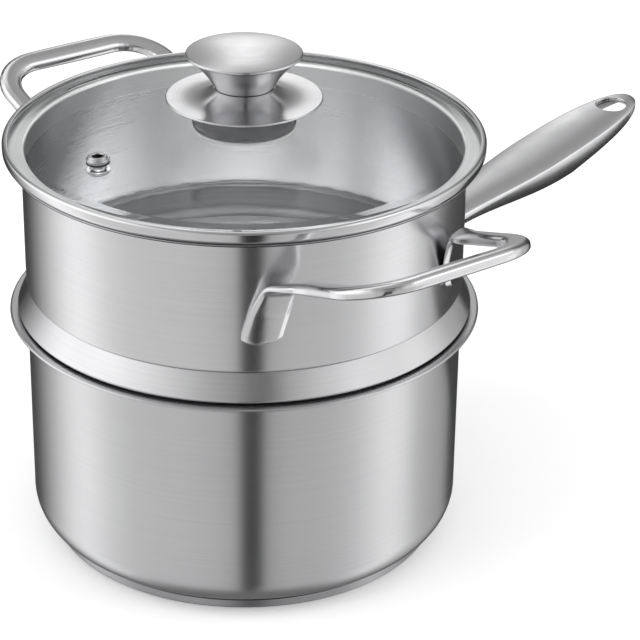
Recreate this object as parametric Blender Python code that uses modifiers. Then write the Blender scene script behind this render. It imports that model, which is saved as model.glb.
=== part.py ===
"""Stainless saucepan with a steamer insert and a glass lid.

The origin is the centre of the base's underside, on the surface that the pan
stands on. +Z is up and +X runs along the pan's long handle. The three groups,
pan, steamer and lid, stack on one upright axis, and the steamer and the lid
lift off along it.
"""

import math

import bmesh
import bpy
from mathutils import Matrix, Vector

MM = 0.001
GAP = 0.3 * MM
MERGE = 0.00001
TURN_STEPS = 48
KNOB_STEPS = 32
SMALL_STEPS = 24
TINY_STEPS = 14
SHARP_ANGLE = math.radians(32)

# Pan body
PAN_RADIUS = 100.0 * MM
PAN_SHEET = 0.8 * MM
PAN_RIM_HEIGHT = 110.4 * MM
PAN_CORNER = 14.5 * MM
PAN_FLARE = 5.0 * MM
PAN_LIP_REACH = 8.05 * MM
PAN_LIP_DROP = 0.9 * MM

# Layered base under the pan
BASE_INSET = 8.7 * MM
BASE_SHEET = 0.8 * MM
BASE_CORE_THICKNESS = 2.2 * MM
BASE_RIM_TUCK = 0.7 * MM
BASE_BEVEL = 0.6 * MM

# Long handle of the pan, with its distances measured outwards from the wall
HANDLE_LENGTH = 172.3 * MM
HANDLE_LINE_BELOW_RIM = 6.5 * MM
HANDLE_RISE = 34.3 * MM
HANDLE_BOW = 1.5 * MM
HANDLE_ROOT_DROP = 12.0 * MM
HANDLE_ROOT_REACH = 25.0 * MM
HANDLE_ROOT_OVERLAP = 3.4 * MM
HANDLE_NECK_AT = 22.0 * MM
HANDLE_WIDEST_AT = 105.0 * MM
HANDLE_TIP_POWER = 2.6
HANDLE_DEEPEST_AT = 113.0 * MM
HANDLE_DEPTH_POWER = 0.8
HANDLE_WALL = 2.0 * MM
HANDLE_SIDE_POINTS = 16
HANDLE_STEPS = 17
CHANNEL_START = 52.0 * MM
CHANNEL_END_WALL = 2.2 * MM
CHANNEL_STEPS = 9
CHANNEL_CLEARANCE = 6.0 * MM
HANG_HOLE_LENGTH = 14.0 * MM
HANG_HOLE_WIDTH = 16.0 * MM
HANG_HOLE_FROM_TIP = 14.0 * MM
HANG_HOLE_CUT = 60.0 * MM
CROWN_POWER = 2.3
BELLY_POWER = 6.0
# Half widths, crowns above the handle's edge line and depths below it, at the
# wall, the neck, the widest or deepest part and the tip
HANDLE_HALF_WIDTHS = (13.5 * MM, 10.7 * MM, 16.6 * MM, 2.5 * MM)
HANDLE_CROWNS = (8.6 * MM, 4.2 * MM, 2.9 * MM, 1.2 * MM)
HANDLE_DEPTHS = (8.6 * MM, 2.6 * MM, 12.0 * MM, 1.8 * MM)

# Steamer body
STEAMER_TURN = math.radians(-7.4)
STEAMER_OVERHANG = 0.1 * MM
STEAMER_SHEET = 0.7 * MM
STEAMER_STEP_RISE = 13.4 * MM
STEAMER_WALL_HEIGHT = 63.2 * MM
STEAMER_FLARE = 4.5 * MM
STEAMER_LIP_REACH = 7.1 * MM
STEP_RADIUS = 1.6 * MM
DRUM_CLEARANCE = 2.4 * MM
DRUM_DEPTH = 14.9 * MM
DRUM_CORNER = 5.0 * MM
FLOOR_MARGIN = 15.0 * MM
HOLE_DIAMETER = 5.0 * MM
HOLE_RING_PITCH = 21.5 * MM
HOLE_SIDES = 8

# Seat ring round the steamer's drum
SEAT_SHEET = 0.8 * MM
SEAT_EDGE_REACH = 4.2 * MM
SEAT_EDGE_RISE = 1.7 * MM
SEAT_FOOT_REACH = 1.9 * MM

# Loop handles of the steamer
LOOP_FOOT_ANGLE = math.radians(31)
LOOP_KNEE_ANGLE = math.radians(26.6)
LOOP_REACH = 51.2 * MM
LOOP_HALF_WIDTH = 43.4 * MM
LOOP_ARM_START = 6.0 * MM
LOOP_ROOT_BELOW_RIM = 19.0 * MM
LOOP_SLOPE = 0.32
LOOP_CORNER = 25.0 * MM
LOOP_KNEE = 9.0 * MM
LOOP_BEND = 5.0 * MM
LOOP_TAB_EASE = 12.0 * MM
LOOP_TWIST = 24.0 * MM
LOOP_BEND_STEPS = 3
SPOON_STEPS = 4
TAB_HEIGHT = 27.5 * MM
TAB_FLAT = 14.0 * MM
TAB_LEAN = 3.0 * MM
TAB_WIDTH = 17.6 * MM
TAB_THICKNESS = 3.0 * MM
TAB_END = 4.0 * MM
BEND_WIDTH = 15.0 * MM
BEND_THICKNESS = 3.4 * MM
ARM_WIDTH = 10.0 * MM
ARM_THICKNESS = 5.2 * MM
GRIP_WIDTH = 11.6 * MM
GRIP_THICKNESS = 6.1 * MM
LOOP_SIDE_POINTS = 10

# Lid glass
GLASS_THICKNESS = 3.6 * MM
GLASS_BEVEL = 0.9 * MM
GLASS_FLANGE_WIDTH = 4.8 * MM
GLASS_SHOULDER_RUN = 4.0 * MM
GLASS_SHOULDER_RISE = 0.8 * MM
GLASS_DOME_RISE = 3.0 * MM
GLASS_BORE_RADIUS = 4.2 * MM

# Lid band
BAND_OVERHANG = 1.2 * MM
BAND_SHEET = 0.7 * MM
BAND_LIP = 2.6 * MM
BAND_TOP_ROUND = 2.1 * MM
BAND_BOTTOM_ROUND = 1.5 * MM
SKIRT_DEPTH = 9.8 * MM
SKIRT_BEND = 1.1 * MM
SKIRT_CLEARANCE = 0.5 * MM

# Steam vent
VENT_FROM_EDGE = 33.5 * MM
VENT_PLACE_ANGLE = math.radians(169.0)
VENT_BORE = 2.5 * MM
VENT_TUBE = 3.3 * MM
VENT_FLANGE = 5.3 * MM
VENT_FLANGE_HEIGHT = 1.5 * MM
VENT_CROWN = 4.3 * MM
VENT_HEIGHT = 2.6 * MM
VENT_SEAL_THICKNESS = 0.6 * MM
VENT_COLLAR_THICKNESS = 1.0 * MM
VENT_TAIL = 0.9 * MM

# Knob
KNOB_SEAT_RADIUS = 23.3 * MM
KNOB_SEAT_HEIGHT = 12.0 * MM
KNOB_SEAT_WALL = 2.2 * MM
KNOB_SEAT_BOSS = 7.0 * MM
KNOB_SEAT_STEP = 0.4 * MM
KNOB_SEAT_FOOT = 1.9 * MM
KNOB_GUARD_RADIUS = 35.2 * MM
KNOB_GUARD_SHEET = 0.9 * MM
KNOB_BELL_RADIUS = 20.5 * MM
KNOB_NECK_RADIUS = 13.6 * MM
KNOB_NECK_HEIGHT = 4.4 * MM
KNOB_STEM_RADIUS = 13.2 * MM
KNOB_STEM_HEIGHT = 14.3 * MM
KNOB_STEM_TOP = 24.8 * MM
KNOB_STEM_SPREAD = 0.6
KNOB_THREAD_DEPTH = 10.5 * MM
KNOB_CROWN_RADIUS = 26.0 * MM
KNOB_CROWN_EDGE = 1.3 * MM
KNOB_CROWN_RISE = 2.1 * MM

# Knob fastening
SCREW_RADIUS = 2.5 * MM
SCREW_HEAD_RADIUS = 5.0 * MM
SCREW_HEAD_HEIGHT = 2.2 * MM
SCREW_TIP_CLEARANCE = 1.5 * MM
SCREW_SLOT_WIDTH = 1.4 * MM
SCREW_SLOT_DEPTH = 1.0 * MM
WASHER_RADIUS = 7.5 * MM
WASHER_THICKNESS = 1.0 * MM
GASKET_RADIUS = 9.5 * MM
GASKET_THICKNESS = 1.2 * MM
TOP_GASKET_WIDTH = 3.0 * MM

# Places that follow from the sizes above
BASE_RADIUS = PAN_RADIUS - BASE_INSET
PAN_UNDERSIDE = BASE_SHEET + BASE_CORE_THICKNESS + 2 * GAP
PAN_LIP_RADIUS = PAN_RADIUS + PAN_LIP_REACH
PAN_FLARE_START = PAN_RIM_HEIGHT - PAN_SHEET - PAN_FLARE
STEP_HEIGHT = PAN_RIM_HEIGHT + STEAMER_STEP_RISE
STEAMER_RIM_HEIGHT = STEP_HEIGHT + STEAMER_WALL_HEIGHT
STEAMER_FLARE_START = STEAMER_RIM_HEIGHT - STEAMER_SHEET - STEAMER_FLARE
STEAMER_RADIUS = PAN_RADIUS + STEAMER_OVERHANG
STEAMER_INNER_RADIUS = STEAMER_RADIUS - STEAMER_SHEET
STEAMER_LIP_RADIUS = STEAMER_RADIUS + STEAMER_LIP_REACH
DRUM_RADIUS = PAN_RADIUS - PAN_SHEET - DRUM_CLEARANCE
DRUM_UNDERSIDE = STEP_HEIGHT - DRUM_DEPTH
FLOOR_FLAT = DRUM_RADIUS - DRUM_CORNER - FLOOR_MARGIN
HOLE_RINGS = int((FLOOR_FLAT - HOLE_DIAMETER) / HOLE_RING_PITCH)
BAND_RADIUS = STEAMER_LIP_RADIUS + BAND_OVERHANG
BAND_BOTTOM = STEAMER_RIM_HEIGHT + GAP
GLASS_BOTTOM = BAND_BOTTOM + BAND_SHEET + GAP
GLASS_FLANGE_TOP = GLASS_BOTTOM + GLASS_THICKNESS
GLASS_RADIUS = BAND_RADIUS - BAND_SHEET - GAP
GLASS_FLANGE_INNER = GLASS_RADIUS - GLASS_FLANGE_WIDTH
GLASS_SHOULDER = GLASS_FLANGE_INNER - GLASS_SHOULDER_RUN
VENT_PLACE_RADIUS = GLASS_RADIUS - VENT_FROM_EDGE
GLASS_CROWN = GLASS_FLANGE_TOP + GLASS_SHOULDER_RISE + GLASS_DOME_RISE
DOME_RADIUS = (GLASS_SHOULDER ** 2 + GLASS_DOME_RISE ** 2) / (2 * GLASS_DOME_RISE)
SCREW_BORE = SCREW_RADIUS + GAP


def dome_height(radius):
    """Height of the glass's upper surface at a radius inside the shoulder."""
    return GLASS_CROWN - DOME_RADIUS + math.sqrt(DOME_RADIUS ** 2 - radius ** 2)


TOP_GASKET_BOTTOM = dome_height(KNOB_SEAT_RADIUS - TOP_GASKET_WIDTH) + GAP
KNOB_SEAT_BOTTOM = TOP_GASKET_BOTTOM + GASKET_THICKNESS + GAP
KNOB_SEAT_TOP = KNOB_SEAT_BOTTOM + KNOB_SEAT_HEIGHT
KNOB_GUARD_BOTTOM = KNOB_SEAT_TOP + GAP
KNOB_STEM_BOTTOM = KNOB_GUARD_BOTTOM + KNOB_GUARD_SHEET + KNOB_NECK_HEIGHT + GAP
KNOB_CROWN_BOTTOM = KNOB_STEM_BOTTOM + KNOB_STEM_HEIGHT + GAP
GASKET_TOP = dome_height(GASKET_RADIUS) - GLASS_THICKNESS - GAP
WASHER_TOP = GASKET_TOP - GASKET_THICKNESS - GAP
SCREW_HEAD_TOP = WASHER_TOP - WASHER_THICKNESS - GAP


def clear_scene():
    """Remove every object that the scene starts with."""
    for item in list(bpy.data.objects):
        bpy.data.objects.remove(item, do_unlink=True)


def make_collection(name):
    """Make a collection and link it to the scene."""
    collection = bpy.data.collections.new(name)
    bpy.context.scene.collection.children.link(collection)
    return collection


def steel(name, colour, roughness):
    """Bare metal with a given reflection colour and polish."""
    return make_material(name, colour, roughness, 1.0)


def make_material(name, colour, roughness, metallic, transmission=0.0):
    """One Principled material."""
    material = bpy.data.materials.new(name)
    material.use_nodes = True
    shader = material.node_tree.nodes["Principled BSDF"]
    shader.inputs["Base Color"].default_value = (*colour, 1.0)
    shader.inputs["Roughness"].default_value = roughness
    shader.inputs["Metallic"].default_value = metallic
    shader.inputs["Transmission Weight"].default_value = transmission
    return material


def arc(centre, radius, start, end, steps):
    """Points on an arc in the profile plane, angles in degrees from +X."""
    points = []
    for step in range(steps + 1):
        angle = math.radians(start + (end - start) * step / steps)
        points.append((centre[0] + radius * math.cos(angle), centre[1] + radius * math.sin(angle)))
    return points


def link(name, mesh, collection, material, parent=None):
    """Put a mesh in the scene as an object with its material and parent."""
    item = bpy.data.objects.new(name, mesh)
    collection.objects.link(item)
    if material is not None:
        mesh.materials.append(material)
    item.parent = parent
    return item


def shade(mesh):
    """Smooth shading with sharp edges where the surface turns hard."""
    mesh.shade_smooth()
    mesh.set_sharp_from_angle(angle=SHARP_ANGLE)


def add_turn(item, steps):
    """Turn an object's profile about its own Z axis."""
    turn = item.modifiers.new("Turn", "SCREW")
    turn.axis = "Z"
    turn.angle = math.tau
    turn.steps = steps
    turn.render_steps = steps
    turn.use_merge_vertices = True
    turn.merge_threshold = MERGE
    turn.use_smooth_shade = True


def turned(name, profile, collection, material, parent=None, steps=TURN_STEPS, closed=False):
    """A turned piece from a profile that runs down its outer side."""
    mesh = bpy.data.meshes.new(name)
    count = len(profile)
    edges = [(index, index + 1) for index in range(count - 1)]
    if closed:
        edges.append((count - 1, 0))
    mesh.from_pydata([(radius, 0.0, height) for radius, height in profile], edges, [])
    item = link(name, mesh, collection, material, parent)
    add_turn(item, steps)
    return item


def evaluated_mesh(item, name):
    """The mesh that an object's modifiers give."""
    graph = bpy.context.evaluated_depsgraph_get()
    graph.update()
    mesh = bpy.data.meshes.new_from_object(item.evaluated_get(graph))
    mesh.name = name
    return mesh


def cut(item, cutter, name):
    """Subtract a cutter from an object."""
    boolean = item.modifiers.new(name, "BOOLEAN")
    boolean.operation = "DIFFERENCE"
    boolean.solver = "EXACT"
    boolean.object = cutter


def as_cutter(name, mesh, collection, parent=None):
    """A guide object that only cuts."""
    item = link(name, mesh, collection, None, parent)
    item.hide_render = True
    item.display_type = "WIRE"
    return item


def loft(name, sections, open_end=False):
    """A solid through sections that all have the same number of points.

    An open end is left for a mirrored half to meet.
    """
    builder = bmesh.new()
    rings = [[builder.verts.new(point) for point in section] for section in sections]
    count = len(rings[0])
    for lower, upper in zip(rings, rings[1:]):
        for index in range(count):
            following = (index + 1) % count
            builder.faces.new((lower[index], lower[following], upper[following], upper[index]))
    builder.faces.new(rings[0])
    last = builder.faces.new(rings[-1])
    bmesh.ops.recalc_face_normals(builder, faces=builder.faces)
    if open_end:
        bmesh.ops.delete(builder, geom=[last], context="FACES_ONLY")
    mesh = bpy.data.meshes.new(name)
    builder.to_mesh(mesh)
    builder.free()
    shade(mesh)
    return mesh


def bent_sheet_lip(radius, sheet, flare, flare_start, lip_radius, rim, drop):
    """Inner wall to outer wall over a flared lip, upward first."""
    centre = (radius + flare, flare_start)
    inner = arc(centre, flare + sheet, 180, 90, 3)
    outer = arc(centre, flare, 90, 180, 3)
    edge = [
        (lip_radius - drop, rim),
        (lip_radius, rim - drop / 2),
        (lip_radius - drop / 3, rim - drop - sheet / 3),
        (lip_radius - drop, rim - sheet),
    ]
    return inner + edge + outer


def pan_shell(parts, material, parent):
    """The drawn body: floor, round corner, wall and flared lip."""
    centre = (PAN_RADIUS - PAN_CORNER, PAN_UNDERSIDE + PAN_CORNER)
    inner_corner = arc(centre, PAN_CORNER - PAN_SHEET, -90, 0, 3)
    outer_corner = arc(centre, PAN_CORNER, 0, -90, 4)
    lip = bent_sheet_lip(
        PAN_RADIUS, PAN_SHEET, PAN_FLARE, PAN_FLARE_START, PAN_LIP_RADIUS, PAN_RIM_HEIGHT, PAN_LIP_DROP
    )
    floor_top = (0.0, PAN_UNDERSIDE + PAN_SHEET)
    floor_bottom = (0.0, PAN_UNDERSIDE)
    profile = [floor_top] + inner_corner + lip + outer_corner + [floor_bottom]
    return turned("pan_shell", profile, parts, material, parent)


def base_core(parts, material, parent):
    """The aluminium disc between the pan's floor and the cap."""
    radius = BASE_RADIUS - BASE_SHEET - GAP
    bottom = BASE_SHEET + GAP
    top = bottom + BASE_CORE_THICKNESS
    profile = [(0.0, top), (radius, top), (radius, bottom), (0.0, bottom)]
    return turned("base_core", profile, parts, material, parent)


def base_cap(parts, material, parent):
    """The dish that closes the base and stands on the hob."""
    centre_radius = PAN_RADIUS - PAN_CORNER
    reach = BASE_RADIUS - centre_radius
    corner_height = PAN_UNDERSIDE + PAN_CORNER - math.sqrt((PAN_CORNER + GAP) ** 2 - reach ** 2)
    top = min(corner_height, PAN_UNDERSIDE + BASE_RIM_TUCK)
    inner = BASE_RADIUS - BASE_SHEET
    inner_top = PAN_UNDERSIDE - GAP
    profile = [
        (0.0, BASE_SHEET),
        (inner, BASE_SHEET),
        (inner, inner_top),
        (BASE_RADIUS - BASE_BEVEL / 2, top - GAP),
        (BASE_RADIUS, top - GAP - BASE_BEVEL / 2),
        (BASE_RADIUS, BASE_BEVEL),
        (BASE_RADIUS - BASE_BEVEL, 0.0),
        (0.0, 0.0),
    ]
    return turned("base_cap", profile, parts, material, parent)


def ease(start, end, share):
    """A value between two others that starts and stops gently."""
    return start + (end - start) * (1 - math.cos(math.pi * share)) / 2


def handle_height(along):
    """Height of the handle's edge line at a distance from the wall."""
    share = along / HANDLE_LENGTH
    line = PAN_RIM_HEIGHT - HANDLE_LINE_BELOW_RIM + HANDLE_RISE * share
    bow = 4 * HANDLE_BOW * share * (1 - share)
    root = ease(HANDLE_ROOT_DROP, 0.0, min(max(along / HANDLE_ROOT_REACH, 0.0), 1.0))
    return line + bow - root


def handle_size(along, sizes, fullest_at=HANDLE_WIDEST_AT, power=HANDLE_TIP_POWER):
    """One of the handle's sizes at a distance from the wall."""
    root, neck, fullest, tip = sizes
    if along < HANDLE_NECK_AT:
        return ease(root, neck, max(along, 0.0) / HANDLE_NECK_AT)
    if along < fullest_at:
        return ease(neck, fullest, (along - HANDLE_NECK_AT) / (fullest_at - HANDLE_NECK_AT))
    end = min((along - fullest_at) / (HANDLE_LENGTH - fullest_at), 1.0)
    return tip + (fullest - tip) * math.sqrt(1 - end ** power)


def handle_section(along, inset=0.0, drop=0.0):
    """Section of the handle: a low crown on fuller sides.

    An inset makes the section of the hollow inside it, and a drop carries that
    section down through the open underside.
    """
    half_width = handle_size(along, HANDLE_HALF_WIDTHS) - inset
    crown = handle_size(along, HANDLE_CROWNS)
    depth = handle_size(along, HANDLE_DEPTHS, HANDLE_DEEPEST_AT, HANDLE_DEPTH_POWER) + drop
    height = handle_height(along) - inset
    points = []
    for index in range(HANDLE_SIDE_POINTS):
        angle = math.tau * index / HANDLE_SIDE_POINTS
        across, up = math.cos(angle), math.sin(angle)
        power, reach = (CROWN_POWER, crown) if up >= 0 else (BELLY_POWER, depth)
        across = math.copysign(abs(across) ** (2 / power), across)
        up = math.copysign(abs(up) ** (2 / power), up)
        points.append(Vector((PAN_RADIUS + along, half_width * across, height + reach * up)))
    return points


def closing_steps(start, end, steps):
    """Places between two others that lie closer together towards the end."""
    return [start + (end - start) * math.sin(math.pi / 2 * step / steps) for step in range(steps + 1)]


def pan_handle(parts, cutters, material, parent):
    """The long handle: a cast leaf, open underneath, with a hanging hole."""
    places = [-HANDLE_ROOT_OVERLAP] + closing_steps(0.0, HANDLE_LENGTH, HANDLE_STEPS)
    body = loft("pan_handle", [handle_section(along) for along in places])
    item = link("pan_handle", body, parts, material, parent)

    channel_end = HANDLE_LENGTH - CHANNEL_END_WALL
    hollow = [
        handle_section(along, HANDLE_WALL, CHANNEL_CLEARANCE)
        for along in closing_steps(CHANNEL_START, channel_end, CHANNEL_STEPS)
    ]
    cut(item, as_cutter("handle_channel", loft("handle_channel", hollow), cutters, parent), "Channel")

    hole_at = HANDLE_LENGTH - HANG_HOLE_FROM_TIP
    place = Matrix.Translation((PAN_RADIUS + hole_at, 0.0, handle_height(hole_at)))
    place @= Matrix.Diagonal((HANG_HOLE_LENGTH, HANG_HOLE_WIDTH, HANG_HOLE_CUT, 1.0))
    hole = bpy.data.meshes.new("hanging_hole")
    builder = bmesh.new()
    bmesh.ops.create_cone(
        builder, cap_ends=True, segments=SMALL_STEPS, radius1=0.5, radius2=0.5, depth=1.0, matrix=place,
    )
    builder.to_mesh(hole)
    builder.free()
    cut(item, as_cutter("hanging_hole", hole, cutters, parent), "Hanging hole")

    trim_radius = PAN_RADIUS + GAP
    trim = [(0.0, PAN_RIM_HEIGHT), (trim_radius, PAN_RIM_HEIGHT), (trim_radius, 0.0), (0.0, 0.0)]
    wall = turned("handle_root_trim", trim, cutters, None, parent)
    wall.hide_render = True
    wall.display_type = "WIRE"
    cut(item, wall, "Root")
    return item


def steamer_profile():
    """Steamer from the floor's upper ring, up, over the lip and down to its underside."""
    sheet = STEAMER_SHEET
    corner = (DRUM_RADIUS - sheet - DRUM_CORNER, DRUM_UNDERSIDE + sheet + DRUM_CORNER)
    inner_corner = arc(corner, DRUM_CORNER, -90, 0, 3)
    outer_corner = arc(corner, DRUM_CORNER + sheet, 0, -90, 3)
    low_centre = (DRUM_RADIUS + STEP_RADIUS, STEP_HEIGHT - STEP_RADIUS)
    high_centre = (STEAMER_RADIUS - STEP_RADIUS, STEP_HEIGHT + STEP_RADIUS)
    inner_step = arc(low_centre, STEP_RADIUS + sheet, 180, 90, 2)
    inner_step += arc(high_centre, STEP_RADIUS - sheet, -90, 0, 1)
    outer_step = arc(high_centre, STEP_RADIUS, 0, -90, 2)
    outer_step += arc(low_centre, STEP_RADIUS, 90, 180, 2)
    lip = bent_sheet_lip(
        STEAMER_RADIUS, sheet, STEAMER_FLARE, STEAMER_FLARE_START,
        STEAMER_LIP_RADIUS, STEAMER_RIM_HEIGHT, sheet,
    )
    top = [(FLOOR_FLAT, DRUM_UNDERSIDE + sheet)]
    bottom = [(FLOOR_FLAT, DRUM_UNDERSIDE)]
    return top + inner_corner + inner_step + lip + outer_step + outer_corner + bottom


def hole_centres():
    """Centres of the steam holes: one in the middle and rings of 6, 12, 18 and so on."""
    centres = [(0.0, 0.0)]
    for ring in range(1, HOLE_RINGS + 1):
        count = 6 * ring
        for index in range(count):
            angle = math.tau * (index + 0.5 * (ring % 2)) / count
            radius = ring * HOLE_RING_PITCH
            centres.append((radius * math.cos(angle), radius * math.sin(angle)))
    return centres


def steamer_shell(parts, cutters, material, parent):
    """The steamer body with its perforated floor."""
    sketch = turned("steamer_sketch", steamer_profile(), cutters, None)
    mesh = evaluated_mesh(sketch, "steamer_shell")
    bpy.data.objects.remove(sketch, do_unlink=True)
    builder = bmesh.new()
    builder.from_mesh(mesh)
    bmesh.ops.holes_fill(builder, edges=builder.edges, sides=0)
    bmesh.ops.recalc_face_normals(builder, faces=builder.faces)
    builder.to_mesh(mesh)
    builder.free()
    shade(mesh)
    item = link("steamer_shell", mesh, parts, material, parent)

    punch = bpy.data.meshes.new("steam_holes")
    builder = bmesh.new()
    for across, along in hole_centres():
        place = Matrix.Translation((across, along, DRUM_UNDERSIDE + STEAMER_SHEET / 2))
        bmesh.ops.create_cone(
            builder, cap_ends=True, segments=HOLE_SIDES, radius1=HOLE_DIAMETER / 2,
            radius2=HOLE_DIAMETER / 2, depth=4 * STEAMER_SHEET, matrix=place,
        )
    builder.to_mesh(punch)
    builder.free()
    cut(item, as_cutter("steam_holes", punch, cutters, parent), "Steam holes")
    return item


def on_flare(radius):
    """Height of the inner side of the pan's flared lip at a radius."""
    return PAN_FLARE_START + math.sqrt((PAN_FLARE + PAN_SHEET) ** 2 - (PAN_RADIUS + PAN_FLARE - radius) ** 2)


def seat_ring(parts, material, parent):
    """The flared ring that carries the steamer in the pan's lip.

    Its edge stands just over the lip, and its turned-in foot rests in the flare.
    """
    step_centre = (DRUM_RADIUS + STEP_RADIUS, STEP_HEIGHT - STEP_RADIUS)
    shoulder = arc(step_centre, STEP_RADIUS - GAP, 180, 90, 2)
    half = SEAT_SHEET / 2
    edge_centre = (PAN_RADIUS + SEAT_EDGE_REACH - half, PAN_RIM_HEIGHT + SEAT_EDGE_RISE)
    foot_outer = PAN_RADIUS + SEAT_FOOT_REACH
    foot_inner = foot_outer - SEAT_SHEET
    foot_top = PAN_RIM_HEIGHT + SEAT_EDGE_RISE
    profile = shoulder + arc(edge_centre, half, 30, -90, 3) + [
        (foot_outer + half, foot_top - half),
        (foot_outer, foot_top - SEAT_SHEET),
        (foot_outer, on_flare(foot_outer) + GAP),
        (foot_inner, on_flare(foot_inner) + GAP),
        (foot_inner, foot_top),
        (foot_inner + half, foot_top + SEAT_SHEET),
    ]
    return turned("steamer_seat_ring", profile, parts, material, parent, closed=True)


def rounded_path(corners, radii, steps):
    """A path through corner points with its inner corners rounded to arcs."""
    path = [corners[0]]
    for before, corner, after, radius in zip(corners, corners[1:], corners[2:], radii):
        inward = (before - corner).normalized()
        outward = (after - corner).normalized()
        half = inward.angle(outward) / 2
        reach = radius / math.tan(half)
        middle = corner + (inward + outward).normalized() * (radius / math.sin(half))
        start = corner + inward * reach - middle
        end = corner + outward * reach - middle
        turn = start.angle(end)
        for step in range(steps + 1):
            share = step / steps
            rim = start * math.sin(turn * (1 - share)) + end * math.sin(turn * share)
            path.append(middle + rim / math.sin(turn))
    path.append(corners[-1])
    return path


def tab_angle(length):
    """Angle round the wall at a length up the leaning tab."""
    return LOOP_FOOT_ANGLE + (LOOP_KNEE_ANGLE - LOOP_FOOT_ANGLE) * min(length / TAB_HEIGHT, 1.0)


def loop_half_path():
    """Centre line of half a loop handle, from the foot of its tab to the grip's middle."""
    def on_wall(radius, length):
        angle = -tab_angle(length)
        return Vector((radius * math.cos(angle), radius * math.sin(angle), foot_height + length))

    def on_plane(out, across):
        height = STEAMER_RIM_HEIGHT - LOOP_ROOT_BELOW_RIM + LOOP_SLOPE * (out - STEAMER_RADIUS)
        return Vector((out, across, height))

    wall = STEAMER_RADIUS + GAP + TAB_THICKNESS / 2
    knee_radius = wall + TAB_LEAN
    knee_out = knee_radius * math.cos(LOOP_KNEE_ANGLE)
    knee = on_plane(knee_out, -knee_radius * math.sin(LOOP_KNEE_ANGLE))
    foot_height = knee.z - TAB_HEIGHT
    far = STEAMER_RADIUS + LOOP_REACH
    corners = [
        on_wall(wall, 0.0),
        on_wall(wall, TAB_FLAT),
        knee,
        on_plane(STEAMER_RADIUS + LOOP_ARM_START, -LOOP_HALF_WIDTH),
        on_plane(far, -LOOP_HALF_WIDTH),
        on_plane(far, 0.0),
    ]
    path = rounded_path(corners, (LOOP_TAB_EASE, LOOP_BEND, LOOP_KNEE, LOOP_CORNER), LOOP_BEND_STEPS)
    spoon = []
    upward = (path[1] - path[0]).normalized()
    for step in range(1, SPOON_STEPS + 1):
        back = TAB_END * (1 - math.cos(math.pi / 2 * step / SPOON_STEPS))
        spoon.append(path[0] + upward * back)
    return spoon + path[1:]


def bar_size(length, stations):
    """Width and thickness of the loop's bar at a length along it."""
    for low, high in zip(stations, stations[1:]):
        if length <= high[0]:
            share = max(length - low[0], 0.0) / (high[0] - low[0])
            return tuple(ease(low[column], high[column], share) for column in (1, 2))
    return stations[-1][1:]


def loop_section(point, side, up, width, thickness):
    """Rounded section of the loop's bar, closed round a point."""
    ring = []
    for corner in range(LOOP_SIDE_POINTS):
        turn = math.tau * (corner + 0.5) / LOOP_SIDE_POINTS
        ring.append(point + side * (width / 2 * math.cos(turn)) + up * (thickness / 2 * math.sin(turn)))
    return ring


def loop_handle(name, turn, parts, material, parent):
    """A loop handle: a bar that flattens into two tabs on the steamer's wall."""
    path = loop_half_path()
    lengths = [TAB_END - (path[SPOON_STEPS - 1] - path[0]).length]
    for start, end in zip(path, path[1:]):
        lengths.append(lengths[-1] + (end - start).length)
    stations = (
        (0.0, TAB_WIDTH, TAB_THICKNESS),
        (TAB_FLAT, TAB_WIDTH, TAB_THICKNESS),
        (TAB_HEIGHT, BEND_WIDTH, BEND_THICKNESS),
        (TAB_HEIGHT + LOOP_TWIST, ARM_WIDTH, ARM_THICKNESS),
        (lengths[-1], GRIP_WIDTH, GRIP_THICKNESS),
    )
    normal = Vector((-LOOP_SLOPE, 0.0, 1.0)).normalized()
    sections = []
    for index, point in enumerate(path):
        before = path[max(index - 1, 0)]
        after = path[min(index + 1, len(path) - 1)]
        tangent = (after - before).normalized()
        angle = tab_angle(lengths[index])
        along_wall = Vector((-math.sin(angle), -math.cos(angle), 0.0))
        twist = min(max((lengths[index] - TAB_HEIGHT) / LOOP_TWIST, 0.0), 1.0)
        side = along_wall.lerp(tangent.cross(normal).normalized(), ease(0.0, 1.0, twist)).normalized()
        width, thickness = bar_size(lengths[index], stations)
        if index < SPOON_STEPS:
            width *= math.sin(math.pi / 2 * (index + 1) / SPOON_STEPS)
        sections.append(loop_section(point, side, side.cross(tangent).normalized(), width, thickness))
    for point in sections[-1]:
        point.y = 0.0
    mesh = loft(name, sections, open_end=True)
    item = link(name, mesh, parts, material, parent)
    mirror = item.modifiers.new("Other half", "MIRROR")
    mirror.use_axis = (False, True, False)
    mirror.merge_threshold = MERGE
    item.rotation_euler = (0.0, 0.0, turn)
    return item


def lid_glass(parts, cutters, material, parent, vent_place):
    """The tempered glass: flat flange, short shoulder and a low dome."""
    top = []
    for radius in (GLASS_BORE_RADIUS, GLASS_SHOULDER / 3, GLASS_SHOULDER * 2 / 3, GLASS_SHOULDER):
        top.append((radius, dome_height(radius)))
    top.append((GLASS_FLANGE_INNER, GLASS_FLANGE_TOP))
    edge = [
        (GLASS_RADIUS - GLASS_BEVEL, GLASS_FLANGE_TOP),
        (GLASS_RADIUS, GLASS_FLANGE_TOP - GLASS_BEVEL),
        (GLASS_RADIUS, GLASS_BOTTOM + GLASS_BEVEL),
        (GLASS_RADIUS - GLASS_BEVEL, GLASS_BOTTOM),
    ]
    bottom = [(radius, height - GLASS_THICKNESS) for radius, height in reversed(top)]
    item = turned("lid_glass", top + edge + bottom, parts, material, parent, closed=True)

    hole = bpy.data.meshes.new("vent_hole")
    builder = bmesh.new()
    bmesh.ops.create_cone(
        builder, cap_ends=True, segments=TINY_STEPS, radius1=VENT_TUBE + GAP, radius2=VENT_TUBE + GAP,
        depth=4 * GLASS_THICKNESS,
    )
    builder.to_mesh(hole)
    builder.free()
    cutter = as_cutter("vent_hole", hole, cutters, parent)
    cutter.matrix_local = vent_place
    cut(item, cutter, "Vent hole")
    return item


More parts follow.
